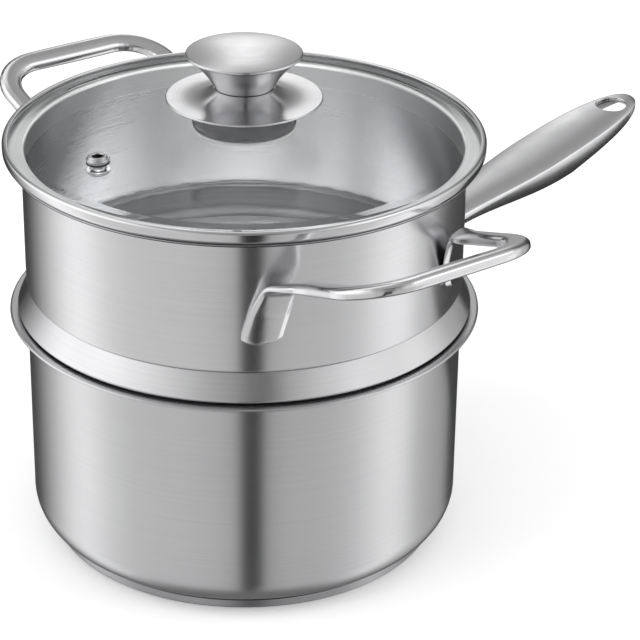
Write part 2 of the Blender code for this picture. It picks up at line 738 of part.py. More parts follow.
def lid_band(parts, material, parent):
    """The band: a channel round the glass edge with a skirt inside the rim."""
    sheet = BAND_SHEET
    top = GLASS_FLANGE_TOP + GAP + sheet
    skirt_outer = STEAMER_INNER_RADIUS - SKIRT_CLEARANCE
    skirt_inner = skirt_outer - sheet
    skirt_bottom = BAND_BOTTOM - SKIRT_DEPTH
    lip_inner = BAND_RADIUS - BAND_LIP
    top_centre = (BAND_RADIUS - BAND_TOP_ROUND, top - BAND_TOP_ROUND)
    low_centre = (BAND_RADIUS - BAND_BOTTOM_ROUND, BAND_BOTTOM + BAND_BOTTOM_ROUND)
    outer = arc(top_centre, BAND_TOP_ROUND, 90, 0, 3) + arc(low_centre, BAND_BOTTOM_ROUND, 0, -90, 3)
    profile = [(lip_inner, top)] + outer + [
        (skirt_outer + SKIRT_BEND, BAND_BOTTOM),
        (skirt_outer, BAND_BOTTOM - SKIRT_BEND),
        (skirt_outer, skirt_bottom),
        (skirt_inner, skirt_bottom),
        (skirt_inner, BAND_BOTTOM - sheet),
        (skirt_inner + SKIRT_BEND, BAND_BOTTOM + sheet),
        (BAND_RADIUS - sheet - BAND_BOTTOM_ROUND / 4, BAND_BOTTOM + sheet),
        (BAND_RADIUS - sheet, BAND_BOTTOM + sheet + BAND_BOTTOM_ROUND / 4),
        (BAND_RADIUS - sheet, top - sheet - GLASS_BEVEL),
        (BAND_RADIUS - sheet - GLASS_BEVEL, top - sheet),
        (lip_inner, top - sheet),
    ]
    return turned("lid_band", profile, parts, material, parent, closed=True)


def vent_matrix():
    """Frame of the vent: its origin on the glass, its Z square to the dome."""
    slope = VENT_PLACE_RADIUS / math.sqrt(DOME_RADIUS ** 2 - VENT_PLACE_RADIUS ** 2)
    place = Vector((VENT_PLACE_RADIUS, 0.0, dome_height(VENT_PLACE_RADIUS)))
    tilt = Matrix.Rotation(math.atan(slope), 4, "Y")
    return Matrix.Rotation(VENT_PLACE_ANGLE, 4, "Z") @ Matrix.Translation(place) @ tilt


def vent_eyelet(parts, material, parent, place):
    """The stepped eyelet that lets steam out through the glass."""
    bottom = VENT_SEAL_THICKNESS + 2 * GAP
    rolled_top = -(GLASS_THICKNESS + VENT_COLLAR_THICKNESS + 2 * GAP)
    tail = rolled_top - VENT_TAIL
    flange_top = bottom + VENT_FLANGE_HEIGHT
    top = bottom + VENT_HEIGHT
    soft = VENT_FLANGE_HEIGHT / 4
    profile = [
        (VENT_BORE, top - soft),
        (VENT_BORE + soft, top),
        (VENT_CROWN - soft, top),
        (VENT_CROWN, top - soft),
        (VENT_CROWN, flange_top + soft),
        (VENT_FLANGE - soft, flange_top),
        (VENT_FLANGE, flange_top - soft),
        (VENT_FLANGE, bottom),
        (VENT_TUBE, bottom),
        (VENT_TUBE, rolled_top),
        (VENT_CROWN, rolled_top),
        (VENT_CROWN, tail),
        (VENT_BORE, tail),
    ]
    item = turned("vent_eyelet", profile, parts, material, parent, TINY_STEPS, closed=True)
    item.matrix_local = place
    return item


def flat_ring(name, inner, outer, bottom, top, parts, material, parent, steps=SMALL_STEPS):
    """A plain ring, such as a washer or a gasket."""
    profile = [(inner, top), (outer, top), (outer, bottom), (inner, bottom)]
    return turned(name, profile, parts, material, parent, steps, closed=True)


def vent_rings(parts, metal, rubber, parent, place):
    """The soft ring over the glass and the collar under it."""
    bore = VENT_TUBE + GAP
    seal = flat_ring(
        "vent_seal", bore, VENT_FLANGE, GAP, GAP + VENT_SEAL_THICKNESS, parts, rubber, parent, TINY_STEPS,
    )
    seal.matrix_local = place
    collar_top = -(GLASS_THICKNESS + GAP)
    collar = flat_ring(
        "vent_collar", bore, VENT_FLANGE, collar_top - VENT_COLLAR_THICKNESS, collar_top,
        parts, metal, parent, TINY_STEPS,
    )
    collar.matrix_local = place


def knob_seat(parts, material, parent):
    """The hollow spacer that lifts the knob off the hot glass."""
    foot_top = KNOB_SEAT_BOTTOM + KNOB_SEAT_FOOT
    upper = KNOB_SEAT_RADIUS - KNOB_SEAT_STEP
    cavity_top = KNOB_SEAT_TOP - KNOB_SEAT_WALL
    profile = [
        (SCREW_BORE, KNOB_SEAT_TOP),
        (upper, KNOB_SEAT_TOP),
        (upper, foot_top + KNOB_SEAT_STEP),
        (KNOB_SEAT_RADIUS, foot_top),
        (KNOB_SEAT_RADIUS, KNOB_SEAT_BOTTOM),
        (KNOB_SEAT_RADIUS - KNOB_SEAT_WALL, KNOB_SEAT_BOTTOM),
        (KNOB_SEAT_RADIUS - KNOB_SEAT_WALL, cavity_top),
        (KNOB_SEAT_BOSS, cavity_top),
        (KNOB_SEAT_BOSS, KNOB_SEAT_BOTTOM),
        (SCREW_BORE, KNOB_SEAT_BOTTOM),
    ]
    return turned("knob_seat", profile, parts, material, parent, SMALL_STEPS, closed=True)


def knob_guard(parts, material, parent):
    """The wide disc with its bell hub."""
    disc_top = KNOB_GUARD_BOTTOM + KNOB_GUARD_SHEET
    neck_top = disc_top + KNOB_NECK_HEIGHT
    hub = []
    steps = 4
    for step in range(steps + 1):
        angle = math.pi / 2 * step / steps
        radius = KNOB_BELL_RADIUS - (KNOB_BELL_RADIUS - KNOB_NECK_RADIUS) * math.cos(angle)
        hub.append((radius, neck_top - KNOB_NECK_HEIGHT * math.sin(angle)))
    profile = [(SCREW_BORE, neck_top)] + hub + [
        (KNOB_GUARD_RADIUS - KNOB_GUARD_SHEET / 3, disc_top),
        (KNOB_GUARD_RADIUS, disc_top - KNOB_GUARD_SHEET / 3),
        (KNOB_GUARD_RADIUS, KNOB_GUARD_BOTTOM + KNOB_GUARD_SHEET / 4),
        (KNOB_GUARD_RADIUS - KNOB_GUARD_SHEET / 4, KNOB_GUARD_BOTTOM),
        (SCREW_BORE, KNOB_GUARD_BOTTOM),
    ]
    return turned("knob_guard", profile, parts, material, parent, KNOB_STEPS, closed=True)


def knob_stem(parts, material, parent):
    """The trumpet of the knob, with the screw's blind bore in its underside."""
    steps = 5
    flare = KNOB_STEM_TOP - KNOB_STEM_RADIUS
    sides = []
    for step in range(steps, -1, -1):
        share = step / steps
        spread = KNOB_STEM_SPREAD * share + (1 - KNOB_STEM_SPREAD) * share * share
        sides.append((KNOB_STEM_RADIUS + flare * spread, KNOB_STEM_BOTTOM + KNOB_STEM_HEIGHT * share))
    bore_top = KNOB_STEM_BOTTOM + KNOB_THREAD_DEPTH
    profile = [(0.0, KNOB_STEM_BOTTOM + KNOB_STEM_HEIGHT)] + sides
    profile += [(SCREW_BORE, KNOB_STEM_BOTTOM), (SCREW_BORE, bore_top), (0.0, bore_top)]
    return turned("knob_stem", profile, parts, material, parent, SMALL_STEPS)


def knob_crown(parts, material, parent):
    """The domed cap on top of the stem."""
    edge_top = KNOB_CROWN_BOTTOM + KNOB_CROWN_EDGE
    dome = (KNOB_CROWN_RADIUS ** 2 + KNOB_CROWN_RISE ** 2) / (2 * KNOB_CROWN_RISE)
    steps = 5
    profile = []
    for step in range(steps + 1):
        radius = KNOB_CROWN_RADIUS * step / steps
        profile.append((radius, edge_top + KNOB_CROWN_RISE - dome + math.sqrt(dome ** 2 - radius ** 2)))
    profile += [
        (KNOB_CROWN_RADIUS, KNOB_CROWN_BOTTOM + KNOB_CROWN_EDGE / 2),
        (KNOB_CROWN_RADIUS - KNOB_CROWN_EDGE / 2, KNOB_CROWN_BOTTOM),
        (0.0, KNOB_CROWN_BOTTOM),
    ]
    return turned("knob_crown", profile, parts, material, parent, KNOB_STEPS)


def knob_screw(parts, cutters, material, parent):
    """The screw from under the glass into the stem, with a slotted head."""
    tip = KNOB_STEM_BOTTOM + KNOB_THREAD_DEPTH - SCREW_TIP_CLEARANCE
    head_bottom = SCREW_HEAD_TOP - SCREW_HEAD_HEIGHT
    soft = SCREW_HEAD_HEIGHT / 3
    profile = [
        (0.0, tip),
        (SCREW_RADIUS - soft, tip),
        (SCREW_RADIUS, tip - soft),
        (SCREW_RADIUS, SCREW_HEAD_TOP),
        (SCREW_HEAD_RADIUS, SCREW_HEAD_TOP),
        (SCREW_HEAD_RADIUS, head_bottom + soft),
        (SCREW_HEAD_RADIUS - soft, head_bottom),
        (0.0, head_bottom),
    ]
    item = turned("knob_screw", profile, parts, material, parent, TINY_STEPS)
    slot = bpy.data.meshes.new("screw_slot")
    builder = bmesh.new()
    bmesh.ops.create_cube(builder, size=1.0)
    size = (3 * SCREW_HEAD_RADIUS, SCREW_SLOT_WIDTH, 2 * SCREW_SLOT_DEPTH)
    bmesh.ops.scale(builder, vec=size, verts=builder.verts)
    bmesh.ops.translate(builder, vec=(0.0, 0.0, head_bottom), verts=builder.verts)
    builder.to_mesh(slot)
    builder.free()
    cut(item, as_cutter("screw_slot", slot, cutters, parent), "Slot")
    return item


def knob_rings(parts, metal, rubber, parent):
    """Gaskets on both sides of the glass and the washer under the lower one."""
    flat_ring(
        "knob_gasket_top", KNOB_SEAT_RADIUS - TOP_GASKET_WIDTH, KNOB_SEAT_RADIUS, TOP_GASKET_BOTTOM,
        TOP_GASKET_BOTTOM + GASKET_THICKNESS, parts, rubber, parent,
    )
    flat_ring(
        "knob_gasket_bottom", SCREW_BORE, GASKET_RADIUS, GASKET_TOP - GASKET_THICKNESS, GASKET_TOP,
        parts, rubber, parent,
    )
    flat_ring(
        "knob_washer", SCREW_BORE, WASHER_RADIUS, WASHER_TOP - WASHER_THICKNESS, WASHER_TOP,
        parts, metal, parent,
    )


def make_empty(name, collection, parent=None, turn=0.0):
    """An empty on the upright axis that a group hangs from."""
    item = bpy.data.objects.new(name, None)
    collection.objects.link(item)
    item.parent = parent
    item.rotation_euler = (0.0, 0.0, turn)
    return item


def main():
    """Build the pan, the steamer and the lid."""
    clear_scene()
    parts = make_collection("saucepan_with_steamer")
    cutters = make_collection("cutters")

    satin = steel("satin_steel", (0.62, 0.62, 0.63), 0.28)
    cast = steel("cast_handle_steel", (0.66, 0.66, 0.67), 0.34)
    polished = steel("polished_steel", (0.72, 0.72, 0.73), 0.14)
    aluminium = steel("aluminium", (0.75, 0.75, 0.77), 0.4)
    glass = make_material("clear_glass", (0.93, 0.96, 0.95), 0.02, 0.0, 1.0)
    rubber = make_material("silicone", (0.16, 0.16, 0.17), 0.6, 0.0)

    pan = make_empty("pan_group", parts)
    pan_shell(parts, satin.copy(), pan)
    base_core(parts, aluminium, pan)
    base_cap(parts, satin.copy(), pan)
    pan_handle(parts, cutters, cast.copy(), pan)

    steamer = make_empty("steamer_lift", parts, pan, turn=STEAMER_TURN)
    steamer_shell(parts, cutters, satin.copy(), steamer)
    seat_ring(parts, satin.copy(), steamer)
    loop_handle("steamer_handle_front", -math.pi / 2, parts, cast.copy(), steamer)
    loop_handle("steamer_handle_rear", math.pi / 2, parts, cast.copy(), steamer)

    lid = make_empty("lid_lift", parts, pan)
    place = vent_matrix()
    lid_glass(parts, cutters, glass, lid, place)
    lid_band(parts, polished.copy(), lid)
    vent_eyelet(parts, polished.copy(), lid, place)
    vent_rings(parts, polished.copy(), rubber.copy(), lid, place)
    knob_seat(parts, polished.copy(), lid)
    knob_guard(parts, polished.copy(), lid)
    knob_stem(parts, polished.copy(), lid)
    knob_crown(parts, polished.copy(), lid)
    knob_rings(parts, polished.copy(), rubber.copy(), lid)
    knob_screw(parts, cutters, polished.copy(), lid)
    bpy.context.view_layer.update()


main()
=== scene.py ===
import logging
import math
from dataclasses import dataclass
from enum import Enum
from typing import Callable, Optional, Sequence, Union

import bmesh
import bpy
from bmesh.types import BMesh, BMVert
from bpy.types import ID, Material, Mesh, Node, NodeSocket, NodeTree, Object
from mathutils import Matrix, Vector


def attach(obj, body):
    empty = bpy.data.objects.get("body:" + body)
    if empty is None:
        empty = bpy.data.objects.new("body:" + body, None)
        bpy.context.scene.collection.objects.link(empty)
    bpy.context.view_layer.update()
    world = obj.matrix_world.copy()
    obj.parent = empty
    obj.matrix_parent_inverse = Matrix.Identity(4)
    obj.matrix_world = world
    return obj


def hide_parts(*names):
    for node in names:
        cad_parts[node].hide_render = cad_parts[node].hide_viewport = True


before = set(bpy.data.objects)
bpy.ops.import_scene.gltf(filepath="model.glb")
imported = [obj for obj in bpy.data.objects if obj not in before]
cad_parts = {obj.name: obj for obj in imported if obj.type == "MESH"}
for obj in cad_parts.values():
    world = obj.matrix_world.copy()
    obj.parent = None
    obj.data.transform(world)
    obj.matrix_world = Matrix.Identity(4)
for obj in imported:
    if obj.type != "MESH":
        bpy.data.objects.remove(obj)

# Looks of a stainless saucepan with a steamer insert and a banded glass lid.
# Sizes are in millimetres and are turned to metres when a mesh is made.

MM = 0.001
# Clearance between two pieces, in mm
GAP = 0.3
# Steps round the pan, the steamer and the lid
WALL_STEPS = 224
# Above this angle in degrees an edge stays hard
SHARP_EDGE = 38.0
# Half the turn, in radians, below which a path counts as straight
STRAIGHT = 0.01
# Below this radius in mm a point lies on the axis
ON_AXIS = 1e-5
WHITE = (1.0, 1.0, 1.0, 1.0)
LOG = logging.getLogger("saucepan")
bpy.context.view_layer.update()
Wires = dict[Union[str, int], Union[float, int, Sequence[float], NodeSocket]]
Ring = list[BMVert]
Pairs = tuple[tuple[float, float], ...]
Triples = tuple[tuple[float, float, float], ...]


def linear(code: str) -> tuple[float, float, float, float]:
    """Turn an sRGB hex code into a linear colour.

    Args:
        code: Six hex digits with a leading #.

    Returns:
        Linear red, green, blue and an alpha of 1.
    """
    channels = [int(code[start:start + 2], 16) / 255 for start in (1, 3, 5)]
    red, green, blue = (
        level / 12.92 if level <= 0.04045 else ((level + 0.055) / 1.055) ** 2.4
        for level in channels
    )
    return red, green, blue, 1.0


def add_node(
    tree: NodeTree, kind: str, wires: Optional[Wires] = None, **settings: object
) -> Node:
    """Add one shader node, set its options and fill its sockets.

    Args:
        tree: The node tree that gets the node.
        kind: Blender's type name of the node, without its leading ShaderNode.
        wires: For each input socket, a plain value or the output socket that feeds it.
        **settings: Options of the node itself.

    Returns:
        The new node.
    """
    node = tree.nodes.new("ShaderNode" + kind)
    for key, value in settings.items():
        setattr(node, key, value)
    for socket, value in (wires or {}).items():
        if isinstance(value, NodeSocket):
            tree.links.new(value, node.inputs[socket])
        else:
            node.inputs[socket].default_value = value
    return node


def empty_material(name: str) -> tuple[Material, NodeTree]:
    """Start a node material.

    Args:
        name: The material's name.

    Returns:
        The material and its tree, still without nodes.
    """
    material = bpy.data.materials.new(name)
    material.use_nodes = True
    material.node_tree.nodes.clear()
    return material, material.node_tree


def add_surface(tree: NodeTree, kind: str, wires: Wires) -> None:
    """Add a shader and make it the material's surface.

    Args:
        tree: The material's tree.
        kind: The shader's kind, as add_node takes it.
        wires: What its sockets get.
    """
    shader = add_node(tree, kind, wires)
    add_node(tree, "OutputMaterial", {"Surface": shader.outputs[0]})


def link_object(name: str, data: ID) -> Object:
    """Put a mesh, lamp or camera in the scene.

    Args:
        name: The new object's name.
        data: What it holds.

    Returns:
        The object.
    """
    item = bpy.data.objects.new(name, data)
    bpy.context.scene.collection.objects.link(item)
    return item


class Strokes(Enum):
    """Which way the last finishing strokes ran over a piece."""

    AROUND = "around the upright axis"
    TUMBLED = "in no direction"


@dataclass(frozen=True)
class Finish:
    """The finish of a surface, and the name of its material."""

    name: str

    def sockets(self, tree: NodeTree, place: NodeSocket) -> Wires:
        """What the shader gets.

        Args:
            tree: The material's tree.
            place: Object coordinates in metres.

        Returns:
            A value or a link for each socket of the shader.
        """
        raise NotImplementedError

    def make(self) -> Material:
        """Build the finish's material.

        Returns:
            The material.
        """
        material, tree = empty_material(self.name)
        place = add_node(tree, "TexCoord").outputs["Object"]
        add_surface(tree, "BsdfPrincipled", self.sockets(tree, place))
        return material


@dataclass(frozen=True)
class SteelFinish(Finish):
    """Bare metal with its polishing marks.

    Tones are the bright and the dull colour of the metal, polish the lowest and
    highest roughness, stretch the anisotropy. A mark is line mm wide and streak
    mm long, which are the same in tumbled metal, and relief is its depth in mm.
    Clouds are soft patches left by handling, cloud mm wide.
    """

    bright: str
    dull: str
    polish: tuple[float, float]
    stretch: float
    strokes: Strokes
    line: float
    streak: float
    relief: float
    cloud: float

    def marks(self, tree: NodeTree, place: NodeSocket) -> NodeSocket:
        """Noise that follows the polishing strokes.

        Args:
            tree: The material's tree.
            place: Object coordinates in metres.

        Returns:
            The noise's value, around 0.5.
        """
        around = self.strokes is Strokes.AROUND
        across, along = 1 / (self.line * MM), 1 / (self.streak * MM)
        scaled = add_node(
            tree, "VectorMath", {0: place, 1: (along, along, across)}, operation="MULTIPLY"
        ).outputs[0]
        wires: Wires = {"Vector": scaled, "Scale": 1.0, "Detail": 3.0, "Roughness": 0.6}
        if around:
            flat = add_node(
                tree, "VectorMath", {0: place, 1: (1.0, 1.0, 0.0)}, operation="MULTIPLY"
            ).outputs[0]
            radius = add_node(tree, "VectorMath", {0: flat}, operation="LENGTH")
            wires["W"] = add_node(
                tree, "Math", {0: radius.outputs["Value"], 1: across}, operation="MULTIPLY"
            ).outputs[0]
        dimensions = "4D" if around else "3D"
        return add_node(tree, "TexNoise", wires, noise_dimensions=dimensions).outputs[0]

    def sockets(self, tree: NodeTree, place: NodeSocket) -> Wires:
        """What the metal's shader gets.

        Args:
            tree: The material's tree.
            place: Object coordinates in metres.

        Returns:
            A value or a link for each socket of the shader.
        """
        marks = self.marks(tree, place)
        patches = add_node(
            tree, "TexNoise",
            {"Vector": place, "Scale": 1 / (self.cloud * MM), "Detail": 2.0, "Roughness": 0.5},
        ).outputs[0]
        wear = add_node(tree, "Math", {0: marks, 1: patches}, operation="ADD")
        share = add_node(
            tree, "MapRange", {"Value": wear.outputs[0], "From Min": 0.7, "From Max": 1.3}
        ).outputs[0]
        tone = add_node(
            tree, "Mix", {0: share, 6: linear(self.dull), 7: linear(self.bright)}, data_type="RGBA"
        )
        smoothest, roughest = self.polish
        gloss = add_node(
            tree, "MapRange", {"Value": share, "To Min": roughest, "To Max": smoothest}
        ).outputs[0]
        relief = add_node(
            tree, "Bump", {"Height": marks, "Distance": self.relief * MM, "Strength": 1.0}
        ).outputs[0]
        wires: Wires = {
            "Base Color": tone.outputs[2], "Metallic": 1.0, "Roughness": gloss, "Normal": relief,
            "Anisotropic": self.stretch,
        }
        if self.strokes is Strokes.AROUND:
            # Strokes round the axis spread a highlight up and down the wall
            grain = add_node(tree, "Tangent", direction_type="RADIAL", axis="Z")
            wires["Tangent"] = grain.outputs[0]
            wires["Anisotropic Rotation"] = 0.25
        return wires


@dataclass(frozen=True)
class GlassFinish(Finish):
    """Clear tempered glass.

    Rolled glass is never quite flat: it has soft swells, wide and high in mm.
    """

    tint: str
    roughness: float
    ior: float
    swell: tuple[float, float] = (25.0, 0.004)

    def sockets(self, tree: NodeTree, place: NodeSocket) -> Wires:
        """What the glass's shader gets.

        Args:
            tree: The material's tree.
            place: Object coordinates in metres.

        Returns:
            A value or a link for each socket of the shader.
        """
        wide, high = self.swell
        swell = add_node(
            tree, "TexNoise", {"Vector": place, "Scale": 1 / (wide * MM), "Detail": 1.0}
        ).outputs[0]
        relief = add_node(
            tree, "Bump", {"Height": swell, "Distance": high * MM, "Strength": 1.0}
        ).outputs[0]
        return {
            "Base Color": linear(self.tint), "Roughness": self.roughness, "IOR": self.ior,
            "Transmission Weight": 1.0, "Normal": relief,
        }


@dataclass(frozen=True)
class SiliconeFinish(Finish):
    """Soft moulded silicone with a fine matt skin.

    Dust and pores vary its tone and its roughness, by spread either way. There
    are so many pores to a metre, and relief is their depth in mm.
    """

    light: str
    dark: str
    roughness: float
    spread: float = 0.08
    pores: float = 700.0
    relief: float = 0.02

    def sockets(self, tree: NodeTree, place: NodeSocket) -> Wires:
        """What the silicone's shader gets.

        Args:
            tree: The material's tree.
            place: Object coordinates in metres.

        Returns:
            A value or a link for each socket of the shader.
        """
        dust = add_node(
            tree, "TexNoise", {"Vector": place, "Scale": self.pores, "Detail": 3.0}
        ).outputs[0]
        tone = add_node(
            tree, "Mix", {0: dust, 6: linear(self.dark), 7: linear(self.light)}, data_type="RGBA"
        )
        low, high = self.roughness - self.spread, self.roughness + self.spread
        matt = add_node(
            tree, "MapRange", {"Value": dust, "To Min": low, "To Max": high}
        ).outputs[0]
        relief = add_node(
            tree, "Bump", {"Height": dust, "Distance": self.relief * MM, "Strength": 1.0}
        ).outputs[0]
        return {"Base Color": tone.outputs[2], "Roughness": matt, "Normal": relief}


# Stainless sheet brushed on a lathe: the eye sees fine rings and upright streaks of light.
# Real brush lines are 0.1 mm apart; they are drawn 0.5 mm apart so that they show at this distance.
PAN_STEEL = SteelFinish(
    "stainless_sheet_brushed_pan", "#E1E1E2", "#DBDBDD", polish=(0.23, 0.27), stretch=0.80,
    strokes=Strokes.AROUND, line=0.5, streak=240.0, relief=0.0002, cloud=60.0,
)
STEAMER_STEEL = SteelFinish(
    "stainless_sheet_brushed_steamer", "#EBEBEC", "#E5E5E7", polish=(0.22, 0.26), stretch=0.80,
    strokes=Strokes.AROUND, line=0.5, streak=240.0, relief=0.0003, cloud=50.0,
)
# Inside, a coarser belt leaves lines, drawn 0.7 mm apart, and wide upright streaks of light
INSIDE_STEEL = SteelFinish(
    "stainless_sheet_brushed_inside", "#F3F3F4", "#EBEBED", polish=(0.24, 0.28), stretch=0.80,
    strokes=Strokes.AROUND, line=0.7, streak=160.0, relief=0.0002, cloud=40.0,
)
# Below the step the belt doesn't reach, and the drum stays as it was drawn, dull. Its darker tone
# is painted shade, low in the pot where less light falls
DRUM_PAINTED_SHADE_STEEL = SteelFinish(
    "stainless_drum_painted_shade", "#8A8A8C", "#7C7C7E", polish=(0.34, 0.44), stretch=0.60,
    strokes=Strokes.AROUND, line=0.9, streak=120.0, relief=0.002, cloud=40.0,
)
# Under the steamer's rolled lip, down the pan's throat and on the seat's foot the tone is painted
# near black: painted shade in the gaps between the parts
ROLL_PAINTED_SHADE_STEEL = SteelFinish(
    "stainless_roll_painted_shade", "#5A5A5C", "#464648", polish=(0.30, 0.42), stretch=0.40,
    strokes=Strokes.AROUND, line=0.6, streak=90.0, relief=0.001, cloud=30.0,
)
# The rolled seat is finished finer than the walls and reads lighter
SEAT_STEEL = SteelFinish(
    "stainless_seat_fine_brushed", "#EDEDEE", "#E3E3E5", polish=(0.16, 0.24), stretch=0.70,
    strokes=Strokes.AROUND, line=0.4, streak=240.0, relief=0.0007, cloud=40.0,
)
# The base is turned after bonding: open rings and a duller grey from the heat of the press
BASE_STEEL = SteelFinish(
    "stainless_base_turned", "#B9B9BB", "#A6A6A9", polish=(0.28, 0.38), stretch=0.60,
    strokes=Strokes.AROUND, line=0.9, streak=120.0, relief=0.006, cloud=30.0,
)
# Cast handles are tumbled with stones: an even satin without lines
CAST_STEEL = SteelFinish(
    "stainless_cast_tumbled", "#E8E8E9", "#DDDDDF", polish=(0.20, 0.27), stretch=0.0,
    strokes=Strokes.TUMBLED, line=0.7, streak=0.7, relief=0.0004, cloud=18.0,
)
# The loops are tumbled longer and come out brighter, with crisp light on their ground edges
LOOP_STEEL = SteelFinish(
    "stainless_loop_tumbled", "#F2F2F3", "#E8E8EA", polish=(0.13, 0.19), stretch=0.0,
    strokes=Strokes.TUMBLED, line=0.7, streak=0.7, relief=0.0004, cloud=18.0,
)
# The band is rolled and buffed: a near mirror with a soft haze
BAND_STEEL = SteelFinish(
    "stainless_band_buffed", "#EFEFF0", "#E6E6E8", polish=(0.10, 0.16), stretch=0.30,
    strokes=Strokes.AROUND, line=0.4, streak=200.0, relief=0.0004, cloud=30.0,
)
# The band's skirt hangs inside the steamer and is rubbed satin
SKIRT_STEEL = SteelFinish(
    "stainless_skirt_satin", "#F0F0F1", "#E2E2E4", polish=(0.30, 0.40), stretch=0.60,
    strokes=Strokes.AROUND, line=0.7, streak=120.0, relief=0.001, cloud=30.0,
)
# The band's channel, seen through the glass, is left mill dull
CHANNEL_STEEL = SteelFinish(
    "stainless_band_mill_dull", "#BEBEC0", "#B0B0B2", polish=(0.28, 0.38), stretch=0.50,
    strokes=Strokes.AROUND, line=0.6, streak=120.0, relief=0.001, cloud=30.0,
)
# The knob is turned and polished: faint rings, clear reflections
KNOB_STEEL = SteelFinish(
    "stainless_knob_turned", "#EEEEEF", "#E5E5E7", polish=(0.14, 0.20), stretch=0.50,
    strokes=Strokes.AROUND, line=0.3, streak=80.0, relief=0.0004, cloud=14.0,
)
# The stem is turned in one pass and left satin
STEM_STEEL = SteelFinish(
    "stainless_stem_satin", "#BEBEC0", "#B2B2B4", polish=(0.20, 0.28), stretch=0.50,
    strokes=Strokes.AROUND, line=0.3, streak=80.0, relief=0.0004, cloud=14.0,
)
# The spacer is left dull as it comes from the press. Its darker tone is painted shade under the
# finger guard
SPACER_PAINTED_SHADE_STEEL = SteelFinish(
    "stainless_spacer_painted_shade", "#9A9A9C", "#88888A", polish=(0.14, 0.22), stretch=0.50,
    strokes=Strokes.AROUND, line=0.5, streak=80.0, relief=0.0005, cloud=14.0,
)
# Small fittings come from the barrel bright
FITTING_STEEL = SteelFinish(
    "stainless_fitting_bright", "#EAEAEB", "#DADADC", polish=(0.12, 0.22), stretch=0.0,
    strokes=Strokes.TUMBLED, line=0.4, streak=0.4, relief=0.001, cloud=6.0,
)
# Aluminium core, pressed and hidden between the steel layers
CORE_ALUMINIUM = SteelFinish(
    "aluminium_core_pressed", "#D9DADC", "#C6C7CA", polish=(0.35, 0.50), stretch=0.0,
    strokes=Strokes.TUMBLED, line=1.2, streak=1.2, relief=0.02, cloud=20.0,
)
# Tempered float glass with a clear view in. The IOR is below the usual 1.5, as the photo has
# no glare on it
LID_GLASS = GlassFinish("clear_tempered_glass", "#FEFFFE", roughness=0.0, ior=1.13)
# Soft rings are moulded: pigmented ones come out dark and matt, clear ones milky and less matt
DARK_SILICONE = SiliconeFinish("silicone_grey", "#3B3B3D", "#2B2B2D", roughness=0.55)
MILKY_SILICONE = SiliconeFinish("silicone_milky", "#F2F3F3", "#E4E6E6", roughness=0.40)


@dataclass(frozen=True)
class Corner:
    """One corner of a turned piece's outline, with the fillet that rounds it."""

    radius: float
    height: float
    fillet: float = 0.0


def fillet_points(
    before: Vector, corner: Vector, after: Vector, radius: float, steps: int
) -> list[Vector]:
    """Round one corner of a path.

    Args:
        before: The point ahead of the corner.
        corner: The corner.
        after: The point past it.
        radius: The fillet's radius, cut down where the sides are too short for it.
        steps: How many pieces the arc has.

    Returns:
        The arc's points, or the corner alone where the path runs straight.
    """
    inward, outward = before - corner, after - corner
    # Two neighbouring fillets share a side and stay just apart
    room = min(inward.length, outward.length) * 0.499
    inward, outward = inward.normalized(), outward.normalized()
    half = math.acos(max(-1.0, min(1.0, inward.dot(outward)))) / 2
    if half > math.pi / 2 - STRAIGHT or radius <= 0.0:
        return [corner]
    reach = min(radius / math.tan(half), room)
    radius = reach * math.tan(half)
    middle = corner + (inward + outward).normalized() * (radius / math.sin(half))
    start, end = corner + inward * reach - middle, corner + outward * reach - middle
    turn = math.pi - 2 * half
    points = []
    for step in range(steps + 1):
        share = step / steps
        rim = start * math.sin(turn * (1 - share)) + end * math.sin(turn * share)
        points.append(middle + rim / math.sin(turn))
    return points


def washer(
    inner: float, outer: float, top: float, bottom: float, fillets: Sequence[float]
) -> list[Corner]:
    """Outline of a flat ring.

    Args:
        inner: Its inner radius.
        outer: Its outer radius.
        top: Height of its upper face.
        bottom: Height of its lower face.
        fillets: One for each corner, from the upper inner one outwards and down.

    Returns:
        The corners.
    """
    spots = ((inner, top), (outer, top), (outer, bottom), (inner, bottom))
    return [Corner(*spot, fillet) for spot, fillet in zip(spots, fillets)]


def outline(
    corners: Sequence[Corner], closed: bool, steps: int,
    long_side: float = 2.4, near_end: float = 0.35,
) -> list[Vector]:
    """Turn corners into a smooth outline.

    Long straight sides get a point close to each end, so that smooth shading
    stays flat between their rounded ends.

    Args:
        corners: The corners in order.
        closed: Whether the outline returns to its start, or ends on the axis.
        steps: Pieces in each fillet.
        long_side: From what length a side counts as long.
        near_end: How far its extra points lie from its ends.

    Returns:
        Points with the radius as X and the height as Y.
    """
    count = len(corners)
    places = [Vector((corner.radius, corner.height)) for corner in corners]
    rounded: list[Vector] = []
    for index, corner in enumerate(corners):
        if not closed and index in (0, count - 1):
            rounded.append(places[index])
            continue
        after = places[(index + 1) % count]
        rounded += fillet_points(places[index - 1], places[index], after, corner.fillet, steps)
    points: list[Vector] = []
    for index, point in enumerate(rounded):
        points.append(point)
        if not closed and index == len(rounded) - 1:
            break
        side = rounded[(index + 1) % len(rounded)] - point
        if side.length > long_side:
            near = side.normalized() * near_end
            points += [point + near, point + side - near]
    return points


def circle(count: int, start: float = 0.0) -> list[tuple[float, float]]:
    """Even steps round a circle.

    Args:
        count: How many steps.
        start: Where the first one lies, as a share of a step.

    Returns:
        Cosine and sine of each.
    """
    angles = [math.tau * (step + start) / count for step in range(count)]
    return [(math.cos(angle), math.sin(angle)) for angle in angles]


def fuller(value: float, power: float) -> float:
    """A cosine or sine, drawn from a circle towards a square as the power grows past 2."""
    return math.copysign(abs(value) ** (2 / power), value)


def bridge(builder: BMesh, first: Ring, second: Ring) -> None:
    """Join two rings with a strip of faces. One of them may be a single point.

    Args:
        builder: The bmesh that gets the faces.
        first: One ring.
        second: The other ring.
    """
    count = max(len(first), len(second))
    for step in range(count):
        following = (step + 1) % count
        corners = [
            first[step % len(first)], first[following % len(first)],
            second[following % len(second)], second[step % len(second)],
        ]
        builder.faces.new(dict.fromkeys(corners))


